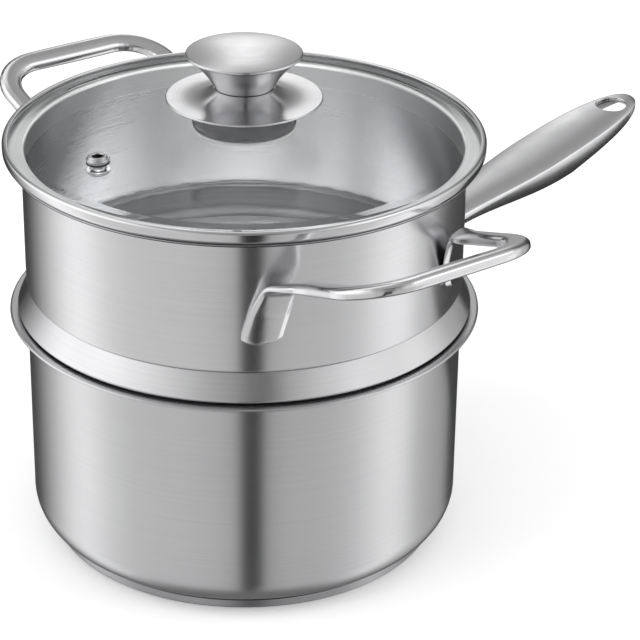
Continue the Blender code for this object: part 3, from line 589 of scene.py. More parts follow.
def turned_mesh(name: str, points: Sequence[Vector], segments: int, closed: bool = True) -> Mesh:
    """Turn an outline about the upright axis.

    Args:
        name: The mesh's name.
        points: Radius and height of each point, in mm.
        segments: Steps round the axis.
        closed: Whether the last point joins the first.

    Returns:
        The mesh, in metres.
    """
    builder = bmesh.new()
    rings: list[Ring] = []
    for point in points:
        spots = circle(segments) if point.x >= ON_AXIS else [(0.0, 0.0)]
        rings.append([
            builder.verts.new((point.x * MM * across, point.x * MM * along, point.y * MM))
            for across, along in spots
        ])
    pairs = list(zip(rings, rings[1:])) + ([(rings[-1], rings[0])] if closed else [])
    for first, second in pairs:
        if len(first) > 1 or len(second) > 1:
            bridge(builder, first, second)
    bmesh.ops.recalc_face_normals(builder, faces=builder.faces)
    return finish_mesh(name, builder)


def turned_piece(
    name: str, corners: Sequence[Corner], steps: int, segments: int = WALL_STEPS,
    closed: bool = True,
) -> Mesh:
    """Turn corners, rounded by their fillets, about the upright axis.

    Args:
        name: The mesh's name.
        corners: The outline's corners in order.
        steps: Pieces in each fillet.
        segments: Steps round the axis.
        closed: Whether the outline returns to its start, or ends on the axis.

    Returns:
        The mesh, in metres.
    """
    return turned_mesh(name, outline(corners, closed, steps), segments, closed)


def edge_corners(radius: float, top: float, rows: Triples) -> list[Corner]:
    """Corners of a lip's cut edge.

    Args:
        radius: The lip's outer radius.
        top: Height of its top face.
        rows: How far in and down from these each corner lies, and its fillet.

    Returns:
        The corners, from the top face to the underside.
    """
    return [Corner(radius - inward, top - drop, fillet) for inward, drop, fillet in rows]


def lofted_mesh(name: str, *solids: Sequence[Sequence[Vector]]) -> Mesh:
    """Skin rows of sections and close both ends of each row.

    Args:
        name: The mesh's name.
        *solids: For each row, its sections in mm, all with the same number of points.

    Returns:
        The mesh, in metres.
    """
    builder = bmesh.new()
    for sections in solids:
        rings = [[builder.verts.new(point * MM) for point in section] for section in sections]
        for first, second in zip(rings, rings[1:]):
            bridge(builder, first, second)
        builder.faces.new(rings[0])
        builder.faces.new(rings[-1])
    bmesh.ops.recalc_face_normals(builder, faces=builder.faces)
    return finish_mesh(name, builder)


def finish_mesh(name: str, builder: BMesh) -> Mesh:
    """Write a bmesh to a smooth-shaded mesh with its hard edges marked.

    Args:
        name: The mesh's name.
        builder: The bmesh, which is freed.

    Returns:
        The mesh.
    """
    mesh = bpy.data.meshes.new(name)
    builder.to_mesh(mesh)
    builder.free()
    shade(mesh)
    return mesh


def shade(mesh: Mesh) -> None:
    """Shade a mesh smooth and mark its hard edges."""
    mesh.shade_smooth()
    mesh.set_sharp_from_angle(angle=math.radians(SHARP_EDGE))


def cut_away(mesh: Mesh, *cutters: Mesh) -> Mesh:
    """Subtract closed meshes from a mesh.

    Args:
        mesh: The mesh that is cut.
        *cutters: The meshes that cut it, in the same frame.

    Returns:
        The cut mesh, under the first mesh's name.
    """
    name = mesh.name
    body = link_object(name + "_blank", mesh)
    tools = [link_object(f"{name}_tool_{index}", cutter) for index, cutter in enumerate(cutters)]
    for tool in tools:
        step = body.modifiers.new(tool.name, "BOOLEAN")
        step.operation, step.solver, step.object = "DIFFERENCE", "EXACT", tool
    graph = bpy.context.evaluated_depsgraph_get()
    graph.update()
    result = bpy.data.meshes.new_from_object(body.evaluated_get(graph))
    for item in [body] + tools:
        bpy.data.objects.remove(item, do_unlink=True)
    result.name = name
    shade(result)
    return result


def ease(start: float, end: float, share: float) -> float:
    """A value between two others that starts and stops gently."""
    return start + (end - start) * (1 - math.cos(math.pi * min(max(share, 0.0), 1.0))) / 2


def lengths_along(path: Sequence[Vector]) -> list[float]:
    """Measure a path.

    Args:
        path: Its points.

    Returns:
        Each point's distance from the start along the path.
    """
    lengths = [0.0]
    for start, end in zip(path, path[1:]):
        lengths.append(lengths[-1] + (end - start).length)
    return lengths


def from_axis(spot: Vector) -> float:
    """A point's distance from the upright axis."""
    return math.hypot(spot.x, spot.y)


@dataclass(frozen=True)
class Roll:
    """A lip that flares out from a wall, all in mm.

    The painted shade on its underside starts where the turn has risen by a first share of the
    flare.
    """

    wall: float
    rim: float
    sheet: float
    flare: float
    first: float = 0.12

    def is_under(self, spot: Vector) -> bool:
        """Whether a point is on the lip's underside, past the first turn from the wall.

        Args:
            spot: The point.

        Returns:
            True for the underside.
        """
        out = from_axis(spot) - self.wall - self.flare
        arm = Vector((out, spot.z - self.rim + self.sheet + self.flare))
        if arm.y < self.first * self.flare:
            return False
        if arm.x < 0:
            return arm.length < self.flare + self.sheet / 2
        return spot.z < self.rim - self.sheet / 2

    def is_throat(self, spot: Vector) -> bool:
        """Whether a point is on the top face where the flare ends, under what sits in it.

        Args:
            spot: The point.

        Returns:
            True for the throat.
        """
        out = from_axis(spot) - self.wall
        return self.flare / 2 < out < self.flare - GAP and not self.is_under(spot)


@dataclass
class SubAssembly:
    """A group of pieces that rides on one body of the frame."""

    body: str = "pan"

    def add(
        self, name: str, mesh: Mesh, node: str, slot: str, material: Material,
        place: Optional[Matrix] = None,
    ) -> Object:
        """Put a finished piece in the scene in place of a solid.

        Args:
            name: The piece's name.
            mesh: Its mesh, in metres.
            node: The solid that it stands for.
            slot: The record's material slot; not used.
            material: Its material.
            place: Where the mesh goes, if not as it is.

        Returns:
            The piece.
        """
        if place is not None:
            mesh.transform(place)
        piece = link_object(name, mesh)
        mesh.materials.clear()
        mesh.materials.append(material)
        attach(piece, self.body)
        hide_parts(node)
        LOG.info("%s: %d faces, rides on %s", name, len(mesh.polygons), self.body)
        return piece

    @staticmethod
    def paint(
        piece: Object, material: Material, chosen: Callable[[Vector], bool]
    ) -> None:
        """Give some faces of a piece another finish.

        Args:
            piece: The piece.
            material: The other finish's material.
            chosen: Whether the face with this centre, in mm, takes it.
        """
        piece.data.materials.append(material)
        last = len(piece.data.materials) - 1
        for face in piece.data.polygons:
            if chosen(face.center / MM):
                face.material_index = last

    @staticmethod
    def dress(node: str, material: Material) -> None:
        """Give a solid that keeps its own mesh a new material.

        Args:
            node: The solid's name.
            material: Its new material.
        """
        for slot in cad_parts[node].material_slots:
            slot.material = material
        LOG.info("%s: keeps its solid", node)


@dataclass
class PanBody(SubAssembly):
    """The drawn pan and the layered base under it."""

    wall: float = 100.0
    sheet: float = 0.8
    underside: float = 3.6
    corner: float = 14.5
    rim: float = 110.4
    flare: float = 5.0
    lip: float = 108.05
    # In from the lip's outer radius, down from its top face, and fillet
    lip_edge: Triples = ((0.75, 0.0, 0.8), (0.0, 0.5, 0.35), (0.3, 1.15, 0.3), (1.1, 0.8, 0.5))
    base: float = 91.3
    base_top: float = 4.0
    base_edge: float = 0.45

    def shell(self) -> Mesh:
        """Floor, round corner, wall and pouring lip.

        Returns:
            The pan's mesh.
        """
        inner, under = self.wall - self.sheet, self.rim - self.sheet
        corners = [
            Corner(0.0, self.underside + self.sheet),
            Corner(inner, self.underside + self.sheet, self.corner - self.sheet),
            Corner(inner, self.rim, self.flare + self.sheet),
            *edge_corners(self.lip, self.rim, self.lip_edge),
            Corner(self.wall, under, self.flare),
            Corner(self.wall, self.underside, self.corner),
            Corner(0.0, self.underside),
        ]
        return turned_piece("pan_body", corners, steps=12, closed=False)

    def cap(self) -> Mesh:
        """The dish that closes the base.

        Returns:
            The cap's mesh.
        """
        corners = [
            Corner(0.0, self.sheet),
            Corner(self.base - self.sheet, self.sheet, 0.3),
            Corner(self.base - self.sheet, self.underside - GAP),
            Corner(self.base - self.base_edge, self.base_top, 0.15),
            Corner(self.base, self.base_top, 0.3),
            Corner(self.base, 0.0, 0.9),
            Corner(0.0, 0.0),
        ]
        return turned_piece("pan_base", corners, steps=6, closed=False)

    def build(self) -> None:
        """Make the pan, its base and the core between them."""
        roll = Roll(self.wall, self.rim, self.sheet, self.flare)
        pan = self.add("pan_body", self.shell(), "pan_shell", "pan_satin_steel", PAN_STEEL.make())
        # The throat under the seat ring gets painted shade, a near-black tone
        self.paint(pan, ROLL_PAINTED_SHADE_STEEL.make(), roll.is_throat)
        self.add("pan_base", self.cap(), "base_cap", "base_steel", BASE_STEEL.make())
        self.dress("base_core", CORE_ALUMINIUM.make())


@dataclass
class PanHandle(SubAssembly):
    """The long cast handle, a leaf that is open underneath.

    Half widths, crowns and depths are those at the wall, the neck, the fullest
    part and the tip.
    """

    wall: float = 100.0
    length: float = 172.3
    line: float = 103.9
    rise: float = 34.3
    bow: float = 1.5
    root_drop: float = 12.0
    root_reach: float = 25.0
    overlap: float = 3.4
    neck_at: float = 22.0
    widest_at: float = 105.0
    tip_power: float = 2.6
    deepest_at: float = 113.0
    depth_power: float = 0.8
    crown_power: float = 2.3
    belly_power: float = 6.0
    skin: float = 2.0
    channel: tuple[float, float] = (52.0, 170.1)
    channel_drop: float = 6.0
    channel_stations: int = 40
    hole: tuple[float, float] = (14.0, 16.0)
    hole_at: float = 158.3
    hole_edge: float = 0.8
    hole_sink: float = 0.35
    edge_steps: int = 6
    punch_reach: tuple[float, float] = (8.0, -30.0)
    drum_height: float = 130.0
    half_widths: tuple[float, float, float, float] = (13.5, 10.7, 16.6, 2.5)
    crowns: tuple[float, float, float, float] = (8.6, 4.2, 2.9, 1.2)
    depths: tuple[float, float, float, float] = (8.6, 2.6, 12.0, 1.8)
    around: int = 64
    stations: int = 84

    def height(self, along: float) -> float:
        """Height of the edge line.

        Args:
            along: Distance from the wall.

        Returns:
            The height above the floor.
        """
        share = along / self.length
        root = ease(self.root_drop, 0.0, along / self.root_reach)
        return self.line + self.rise * share + 4 * self.bow * share * (1 - share) - root

    def size(
        self, along: float, sizes: tuple[float, float, float, float], fullest: float, power: float
    ) -> float:
        """One of the section's sizes.

        Args:
            along: Distance from the wall.
            sizes: Values at the wall, the neck, the fullest part and the tip.
            fullest: Where the fullest part lies.
            power: How long the size holds before it falls off to the tip.

        Returns:
            The size there.
        """
        root, neck, full, tip = sizes
        if along < self.neck_at:
            return ease(root, neck, along / self.neck_at)
        if along < fullest:
            return ease(neck, full, (along - self.neck_at) / (fullest - self.neck_at))
        end = min((along - fullest) / (self.length - fullest), 1.0)
        return tip + (full - tip) * math.sqrt(1 - end ** power)

    def section(self, along: float, inset: float = 0.0, drop: float = 0.0) -> list[Vector]:
        """A low crown on fuller sides.

        Args:
            along: Distance from the wall.
            inset: How far the section lies inside the skin.
            drop: How far a hollow reaches down past the underside.

        Returns:
            The section's points.
        """
        half = self.size(along, self.half_widths, self.widest_at, self.tip_power) - inset
        crown = self.size(along, self.crowns, self.widest_at, self.tip_power)
        depth = self.size(along, self.depths, self.deepest_at, self.depth_power) + drop
        height = self.height(along) - inset
        points = []
        for across, up in circle(self.around):
            power, reach = (self.crown_power, crown) if up >= 0 else (self.belly_power, depth)
            across, up = fuller(across, power), fuller(up, power)
            points.append(Vector((self.wall + along, half * across, height + reach * up)))
        return points

    def places(self, start: float, end: float, count: int) -> list[float]:
        """Stations that close up towards the end.

        Args:
            start: The first station.
            end: The last station.
            count: How many gaps lie between them.

        Returns:
            The stations.
        """
        shares = [math.sin(math.pi / 2 * step / count) for step in range(count + 1)]
        return [start + (end - start) * share for share in shares]

    def hole_cutter(self) -> Mesh:
        """An oval punch whose ends flare, so that the hole's edges come out round.

        Returns:
            The punch's mesh, in metres.
        """
        edge, (above, below) = self.hole_edge, self.punch_reach
        # Growth of the oval and height, from above the top face down through the skin
        levels = [(edge, above)]
        for step in range(self.edge_steps + 1):
            angle = math.pi / 2 * step / self.edge_steps
            levels.append((edge * (1 - math.sin(angle)), edge * (math.cos(angle) - 1)))
        levels += [(grow, -self.skin - height) for grow, height in reversed(levels[1:])]
        levels.append((edge, below))
        wide, long = self.hole[0] / 2, self.hole[1] / 2
        sections = [
            [Vector(((wide + grow) * x, (long + grow) * y, height)) for x, y in circle(self.around)]
            for grow, height in levels
        ]
        mesh = lofted_mesh("hanging_hole_punch", sections)
        crown = self.size(self.hole_at, self.crowns, self.widest_at, self.tip_power)
        top = self.height(self.hole_at) + crown - self.hole_sink
        place = Matrix.Translation(Vector((self.wall + self.hole_at, 0.0, top)) * MM)
        mesh.transform(place @ Matrix.Rotation(-math.atan(self.rise / self.length), 4, "Y"))
        return mesh

    def build(self) -> None:
        """Loft the leaf, hollow it, punch the hole and fit the root to the wall."""
        places = [-self.overlap] + self.places(0.0, self.length, self.stations)
        body = lofted_mesh("pan_leaf_handle", [self.section(along) for along in places])
        places = self.places(*self.channel, self.channel_stations)
        sections = [self.section(along, self.skin, self.channel_drop) for along in places]
        hollow = lofted_mesh("handle_hollow", sections)
        # What lies inside the pan's wall comes off with a drum of its size
        wall, top = self.wall + GAP, self.drum_height
        drum = [Vector(spot) for spot in ((0, top), (wall, top), (wall, 0), (0, 0))]
        trim = turned_mesh("handle_trim", drum, WALL_STEPS, closed=False)
        mesh = cut_away(body, hollow, self.hole_cutter(), trim)
        self.add("pan_leaf_handle", mesh, "pan_handle", "cast_handle_steel", CAST_STEEL.make())


@dataclass
class SteamerBody(SubAssembly):
    """The steamer's shell with its punched floor, and the ring that seats it."""

    body: str = "steamer"
    wall: float = 100.1
    sheet: float = 0.7
    step: float = 123.8
    step_round: float = 1.6
    drum: float = 96.8
    underside: float = 108.9
    corner: float = 5.0
    rim: float = 186.5
    flare: float = 4.5
    lip: float = 106.4
    # In from the lip's outer radius, down from its top face, and fillet
    lip_edge: Triples = ((0.6, 0.0, 0.6), (0.0, 0.4, 0.3), (0.25, 0.95, 0.25), (0.9, 0.7, 0.4))
    turn: float = -7.4
    seat_edge: float = 111.9
    # Radius, height and fillet, from the drum's side over the top, down the flare and back inside
    seat_outline: Triples = (
        (97.1, 122.2, 0.2), (97.35, 123.3, 0.5), (98.4, 123.5, 0.5), (104.35, 112.5, 0.5),
        (103.9, 111.55, 0.3), (102.0, 111.6, 0.6), (101.9, 109.85, 0.2), (101.1, 109.25, 0.2),
        (101.1, 112.1, 0.8), (102.3, 113.6, 0.8),
    )
    hole: float = 5.0
    hole_steps: int = 32
    pitch: float = 21.5
    rings: int = 3
    # What each level of a punch adds to the hole's radius, and its height over the sheet's middle
    punch: Pairs = (
        (0.25, 2.0), (0.25, 0.35), (0.0, 0.10), (0.0, -0.10), (0.25, -0.35), (0.25, -2.0),
    )

    def shell(self) -> Mesh:
        """Floor, drum, step, wall and lip.

        Returns:
            The steamer's mesh without its holes.
        """
        sheet, under = self.sheet, self.rim - self.sheet
        floor = self.underside + sheet
        corners = [
            Corner(0.0, floor),
            Corner(self.drum - sheet, floor, self.corner),
            Corner(self.drum - sheet, self.step + sheet, self.step_round + sheet),
            Corner(self.wall - sheet, self.step + sheet, self.step_round - sheet),
            Corner(self.wall - sheet, self.rim, self.flare + sheet),
            *edge_corners(self.lip, self.rim, self.lip_edge),
            Corner(self.wall, under, self.flare),
            Corner(self.wall, self.step, self.step_round),
            Corner(self.drum, self.step, self.step_round),
            Corner(self.drum, self.underside, self.corner + sheet),
            Corner(0.0, self.underside),
        ]
        return turned_piece("steamer_body", corners, steps=10, closed=False)

    def is_inside(self, spot: Vector) -> bool:
        """Whether a point is on the sheet's inner face, which bends over the step.

        Args:
            spot: The point, in mm.

        Returns:
            True for the inner face.
        """
        radius, middle = from_axis(spot), self.step_round + self.sheet / 2
        bend = Vector((self.drum + self.step_round - radius, spot.z - self.step + self.step_round))
        if bend.x < 0:
            return radius < self.wall - self.sheet / 2 and spot.z > self.step + self.sheet / 2
        if bend.y > 0:
            return bend.length > middle
        return bend.x > middle and spot.z > self.underside + self.sheet / 2

    def is_drum(self, spot: Vector) -> bool:
        """Whether a point is on the inner face from the step down to the floor's corner.

        Args:
            spot: The point, in mm.

        Returns:
            True for the drum's inner face.
        """
        low = from_axis(spot) > self.drum - self.corner and spot.z < self.step + 2 * self.sheet
        return low and self.is_inside(spot)

    def is_seat_foot(self, spot: Vector) -> bool:
        """Whether a point in mm is on the seat's lower edge."""
        return spot.z < self.seat_edge and from_axis(spot) > self.wall

    def punches(self) -> Mesh:
        """One punch for each steam hole, with a soft edge on both faces.

        Returns:
            All punches in one mesh.
        """
        centres = [(0.0, 0.0)]
        for ring in range(1, self.rings + 1):
            spots = circle(6 * ring, 0.5 * (ring % 2))
            centres += [(ring * self.pitch * x, ring * self.pitch * y) for x, y in spots]
        height = self.underside + self.sheet / 2
        punches = []
        for across, along in centres:
            sections = []
            for grow, lift in self.punch:
                radius, level = self.hole / 2 + grow, height + lift
                sections.append([
                    Vector((across + radius * x, along + radius * y, level))
                    for x, y in circle(self.hole_steps)
                ])
            punches.append(sections)
        return lofted_mesh("steam_punches", *punches)

    def seat(self) -> Mesh:
        """The flared ring that rests in the pan's lip.

        Returns:
            The ring's mesh.
        """
        corners = [Corner(*row) for row in self.seat_outline]
        return turned_piece("steamer_seat", corners, steps=5)

    def build(self) -> None:
        """Make the steamer and its seat, turned as the photo shows them."""
        place = Matrix.Rotation(math.radians(self.turn), 4, "Z")
        shell = cut_away(self.shell(), self.punches())
        steamer = self.add(
            "steamer_body", shell, "steamer_shell", "steamer_satin_steel", STEAMER_STEEL.make(),
            place,
        )
        roll = Roll(self.wall, self.rim, self.sheet, self.flare)
        self.paint(steamer, INSIDE_STEEL.make(), self.is_inside)
        # The drum's inner face gets the darker tone, painted shade low in the pot
        self.paint(steamer, DRUM_PAINTED_SHADE_STEEL.make(), self.is_drum)
        # The lip's underside gets painted shade, a near-black tone
        self.paint(steamer, ROLL_PAINTED_SHADE_STEEL.make(), roll.is_under)
        seat = self.add(
            "steamer_seat", self.seat(), "steamer_seat_ring", "seat_ring_steel", SEAT_STEEL.make()
        )
        # The seat's foot gets painted shade, a dark line where it meets the pan's lip
        self.paint(seat, ROLL_PAINTED_SHADE_STEEL.make(), self.is_seat_foot)


@dataclass
class LoopHandle(SubAssembly):
    """One of the steamer's two loop handles: a bar that flattens into two tabs.

    Sizes of the bar are its width and thickness. Its two section pairs are the
    power of the curve and its height as a share of half the thickness.
    """

    body: str = "steamer"
    side: str = "front"
    turn: float = -97.4
    wall: float = 100.1
    foot_angle: float = 31.0
    knee_angle: float = 26.6
    reach: float = 51.2
    half_width: float = 43.4
    arm_start: float = 6.0
    root: float = 168.0
    slope: float = 0.32
    corner: float = 25.0
    knee: float = 9.0
    bend: float = 8.0
    tab_ease: float = 12.0
    twist: float = 24.0
    tab: tuple[float, float] = (17.6, 3.0)
    tab_height: float = 27.5
    tab_flat: float = 14.0
    tab_lean: float = 3.0
    tab_end: float = 4.0
    tab_nose: float = 2.4
    # At its tip: least width, squared, and what comes off the thickness, both as shares, and
    # the power by which that fades in
    tab_tip: float = 0.02
    tab_thinning: float = 0.5
    thinning_power: float = 4.0
    tab_edge: float = 0.2
    chamfer: float = 0.24
    crown: float = 0.25
    bend_size: tuple[float, float] = (15.0, 3.4)
    arm_size: tuple[float, float] = (10.0, 5.2)
    grip_size: tuple[float, float] = (11.6, 6.1)
    top_section: tuple[float, float] = (2.7, 1.08)
    under_section: tuple[float, float] = (3.0, 0.9)
    around: int = 56
    spacing: float = 0.8
    arc_steps: int = 10

    def tab_angle(self, length: float) -> float:
        """Angle round the wall, in radians, at a length up the leaning tab."""
        share = min(length / self.tab_height, 1.0)
        return math.radians(self.foot_angle + (self.knee_angle - self.foot_angle) * share)

    def on_plane(self, out: float, across: float) -> Vector:
        """A point in the loop's tilted plane."""
        return Vector((out, across, self.root + self.slope * (out - self.wall)))

    def half_path(self) -> list[Vector]:
        """Centre line from the foot of one tab to the middle of the grip.

        Returns:
            The path's points.
        """
        angles = [self.tab_angle(length) for length in (0.0, self.tab_flat, self.tab_height)]
        foot, middle, top = (Vector((math.cos(angle), -math.sin(angle), 0.0)) for angle in angles)
        wall = self.wall + GAP + self.tab[1] / 2
        knee = self.on_plane((wall + self.tab_lean) * top.x, (wall + self.tab_lean) * top.y)
        level = Vector((0.0, 0.0, knee.z - self.tab_height))
        far = self.wall + self.reach
        corners = [
            foot * wall + level,
            middle * wall + level + Vector((0.0, 0.0, self.tab_flat)),
            knee,
            self.on_plane(self.wall + self.arm_start, -self.half_width),
            self.on_plane(far, -self.half_width),
            self.on_plane(far, 0.0),
        ]
        radii = (self.tab_ease, self.bend, self.knee, self.corner)
        path = [corners[0]]
        for radius, before, corner, after in zip(radii, corners, corners[1:], corners[2:]):
            path += fillet_points(before, corner, after, radius, self.arc_steps)
        path.append(corners[-1])
        return self.even(path)

    def even(self, path: Sequence[Vector]) -> list[Vector]:
        """Lay points evenly along a path.

        Args:
            path: The path's corners.

        Returns:
            Points from the path's start to its end.
        """
        lengths = lengths_along(path)
        count = max(round(lengths[-1] / self.spacing), 1)
        points, index = [], 0
        for step in range(count + 1):
            goal = lengths[-1] * step / count
            while index < len(path) - 2 and lengths[index + 1] < goal:
                index += 1
            gap = max(lengths[index + 1] - lengths[index], 1e-9)
            points.append(path[index].lerp(path[index + 1], (goal - lengths[index]) / gap))
        return points

    def bar(self, length: float, total: float) -> tuple[float, float]:
        """Width and thickness of the bar.

        Args:
            length: Distance from the tab's foot along the path.
            total: The path's whole length.

        Returns:
            The width and the thickness there.
        """
        stations = [
            (0.0, self.tab), (self.tab_flat, self.tab), (self.tab_height, self.bend_size),
            (self.tab_height + self.twist, self.arm_size), (total, self.grip_size),
        ]
        for (low, first), (high, second) in zip(stations, stations[1:]):
            if length <= high:
                share = (length - low) / (high - low)
                return ease(first[0], second[0], share), ease(first[1], second[1], share)
        return stations[-1][1]

    def ring(
        self, point: Vector, side: Vector, up: Vector, size: tuple[float, float], flat: float
    ) -> list[Vector]:
        """Section of the bar.

        Args:
            point: The section's middle.
            side: Direction of its width.
            up: Direction of its thickness, towards the wall at the tab.
            size: Its width and thickness.
            flat: How much of a tab it is, from 0 to 1.

        Returns:
            The section's points.
        """
        points = []
        for across, rise in circle(self.around, 0.5):
            power, reach = self.top_section if rise > 0 else self.under_section
            across, rise = fuller(across, power), fuller(rise, power)
            rise += (self.tab_face(abs(across), rise) - rise * reach) * flat + rise * (reach - 1)
            points.append(point + side * (size[0] / 2 * across) + up * (size[1] / 2 * rise))
        return points

    def tab_face(self, across: float, rise: float) -> float:
        """Section of the tab: flat to the wall, ground at both edges and nearly flat between them.

        Args:
            across: Distance from the middle, as a share of half the width.
            rise: The bar's own section there, as a share of half the thickness.

        Returns:
            The tab's section there, as a share of half the thickness.
        """
        if rise > 0:
            return self.tab_edge + (1 - self.tab_edge) * rise
        inside = (1 - across) / self.chamfer
        if inside < 1:
            return self.tab_edge - (1 - self.crown + self.tab_edge) * inside
        return -1 + self.crown * (across / (1 - self.chamfer)) ** 2

    def half_sections(self) -> list[list[Vector]]:
        """Sections from the foot of one tab to the middle of the grip.

        Returns:
            The sections.
        """
        path = self.half_path()
        lengths = lengths_along(path)
        normal = Vector((-self.slope, 0.0, 1.0)).normalized()
        sections = []
        for index, (point, length) in enumerate(zip(path, lengths)):
            tangent = (path[min(index + 1, len(path) - 1)] - path[max(index - 1, 0)]).normalized()
            if index == len(path) - 1:
                tangent = Vector((0.0, 1.0, 0.0))
            share = ease(0.0, 1.0, (length - self.tab_height) / self.twist)
            angle = self.tab_angle(length)
            along_wall = Vector((-math.sin(angle), -math.cos(angle), 0.0))
            side = along_wall.lerp(tangent.cross(normal).normalized(), share).normalized()
            up = side.cross(tangent).normalized()
            width, thickness = self.bar(length, lengths[-1])
            fading = (length - self.tab_flat) / (self.tab_height - self.tab_flat)
            flat = 1.0 - ease(0.0, 1.0, fading)
            if length < self.tab_end:
                # The tab's end is rounded from the front and thinned
                back = 1 - length / self.tab_end
                width *= math.sqrt(max(1 - back ** self.tab_nose, self.tab_tip))
                thickness *= 1 - self.tab_thinning * back ** self.thinning_power
            sections.append(self.ring(point, side, up, (width, thickness), flat))
        return sections

    def build(self) -> None:
        """Loft both halves in one skin and turn the loop to its place."""
        half = self.half_sections()
        for point in half[-1]:
            point.y = 0.0
        other = [
            [Vector((point.x, -point.y, point.z)) for point in section]
            for section in reversed(half[:-1])
        ]
        name, node = f"steamer_loop_{self.side}", f"steamer_handle_{self.side}"
        place = Matrix.Rotation(math.radians(self.turn), 4, "Z")
        mesh = lofted_mesh(name, half + other)
        self.add(name, mesh, node, "loop_handle_steel", LOOP_STEEL.make(), place)


@dataclass
class Lid(SubAssembly):
    """The glass, the band round it and the steam vent.

    Heights of the vent's pieces are measured from the glass's upper face.
    """

    body: str = "lid"
    band: float = 108.4
    band_bottom: float = 187.3
    band_sheet: float = 0.7
    band_lip: float = 2.6
    skirt: float = 98.9
    skirt_bottom: float = 177.5
    glass: float = 107.4
    glass_bottom: float = 188.3
    thickness: float = 3.6
    flange: float = 102.6
    shoulder: float = 98.6
    shoulder_rise: float = 0.8
    shoulder_round: float = 6.0
    dome_rise: float = 3.0
    dome_steps: int = 12
    bore: float = 4.2
    vent_radius: float = 73.9
    vent_angle: float = 169.0
    vent_steps: int = 48
    vent_hole: float = 3.6
    vent_rim: float = 0.4
    punch_reach: tuple[float, float] = (6.0, -9.0)
    eyelet_bore: float = 2.5
    eyelet_neck: float = 3.3
    eyelet_head: float = 4.3
    eyelet_flange: float = 5.3
    eyelet_bottom: float = 1.2
    eyelet_step: float = 2.7
    eyelet_top: float = 3.8
    eyelet_roll: float = 0.9
    collar_height: float = 1.0

    def dome_radius(self) -> float:
        """Radius of the sphere that the dome is part of."""
        return (self.shoulder ** 2 + self.dome_rise ** 2) / (2 * self.dome_rise)

    def dome(self, radius: float) -> float:
        """Height of the glass's upper face.

        Args:
            radius: Distance from the axis, inside the shoulder.

        Returns:
            The height.
        """
        crown = self.glass_bottom + self.thickness + self.shoulder_rise + self.dome_rise
        return crown - self.dome_radius() + math.sqrt(self.dome_radius() ** 2 - radius ** 2)

    def vent_place(self) -> Matrix:
        """Frame on the glass, square to the dome.

        Returns:
            The frame, in metres.
        """
        slope = self.vent_radius / math.sqrt(self.dome_radius() ** 2 - self.vent_radius ** 2)
        spot = Vector((self.vent_radius, 0.0, self.dome(self.vent_radius))) * MM
        turn = Matrix.Rotation(math.radians(self.vent_angle), 4, "Z")
        return turn @ Matrix.Translation(spot) @ Matrix.Rotation(math.atan(slope), 4, "Y")

    def pane(self) -> Mesh:
        """The glass with its two bores.

        Returns:
            The glass's mesh.
        """
        steps = self.dome_steps
        top = [Corner(self.bore, self.dome(self.bore), 0.5)]
        for step in range(1, steps + 1):
            radius = self.bore + (self.shoulder - self.bore) * step / steps
            fillet = self.shoulder_round if step == steps else 0.0
            top.append(Corner(radius, self.dome(radius), fillet))
        flange_top = self.glass_bottom + self.thickness
        top.append(Corner(self.flange, flange_top, 4.0))
        edge = [Corner(self.glass, flange_top, 1.2), Corner(self.glass, self.glass_bottom, 1.2)]
        bottom = [
            Corner(corner.radius, corner.height - self.thickness, corner.fillet)
            for corner in reversed(top)
        ]
        mesh = turned_piece("lid_pane", top + edge + bottom, steps=6)
        # The vent's hole is chamfered on both faces
        hole, rim, (above, below) = self.vent_hole, self.vent_rim, self.punch_reach
        profile = [
            Corner(0.0, above), Corner(hole + rim, above), Corner(hole + rim, 0.0),
            Corner(hole, -rim), Corner(hole, rim - self.thickness),
            Corner(hole + rim, -self.thickness), Corner(hole + rim, below), Corner(0.0, below),
        ]
        punch = turned_piece("vent_punch", profile, 8, self.vent_steps, closed=False)
        punch.transform(self.vent_place())
        return cut_away(mesh, punch)

    def is_hidden(self, spot: Vector) -> bool:
        """Whether a point is on the band's inner face under the glass.

        Args:
            spot: The point, in mm.

        Returns:
            True for the channel's inner face.
        """
        low, high = self.band_bottom + self.band_sheet / 2, self.glass_bottom + self.thickness / 2
        return low < spot.z < high and from_axis(spot) < self.band - self.band_sheet / 2

    def is_skirt(self, spot: Vector) -> bool:
        """Whether a point in mm is on the band's skirt."""
        return from_axis(spot) < self.skirt + GAP

    def rim_band(self) -> Mesh:
        """The channel round the glass and the skirt inside the steamer's rim.

        Returns:
            The band's mesh.
        """
        sheet = self.band_sheet
        top = self.glass_bottom + self.thickness + GAP + sheet
        inner = self.skirt - sheet
        # Fillets of 0.34 mm round the cut edges of the 0.7 mm sheet
        corners = [
            Corner(self.band - self.band_lip, top, 0.34),
            Corner(self.band, top, 2.1),
            Corner(self.band, self.band_bottom, 2.2),
            Corner(self.skirt, self.band_bottom, 1.1),
            Corner(self.skirt, self.skirt_bottom, 0.34),
            Corner(inner, self.skirt_bottom, 0.34),
            Corner(inner, self.band_bottom + sheet, 1.5),
            Corner(self.band - sheet, self.band_bottom + sheet, 0.9),
            Corner(self.band - sheet, top - sheet, 1.1),
            Corner(self.band - self.band_lip, top - sheet, 0.34),
        ]
        return turned_piece("lid_rim_band", corners, steps=8)

    def eyelet(self) -> list[Corner]:
        """The stepped eyelet: head and flange over the glass, neck through it, roll under it.

        Returns:
            Its outline.
        """
        bore, neck, head = self.eyelet_bore, self.eyelet_neck, self.eyelet_head
        flange, bottom, top = self.eyelet_flange, self.eyelet_bottom, self.eyelet_top
        step = self.eyelet_step
        rolled = -(self.thickness + self.collar_height + 2 * GAP)
        end = rolled - self.eyelet_roll
        return [
            Corner(bore, top, 0.5), Corner(head, top, 0.7), Corner(head, step, 0.35),
            Corner(flange, step, 0.4), Corner(flange, bottom, 0.2), Corner(neck, bottom),
            Corner(neck, rolled), Corner(head, rolled, 0.3), Corner(head, end, 0.4),
            Corner(bore, end, 0.4),
        ]

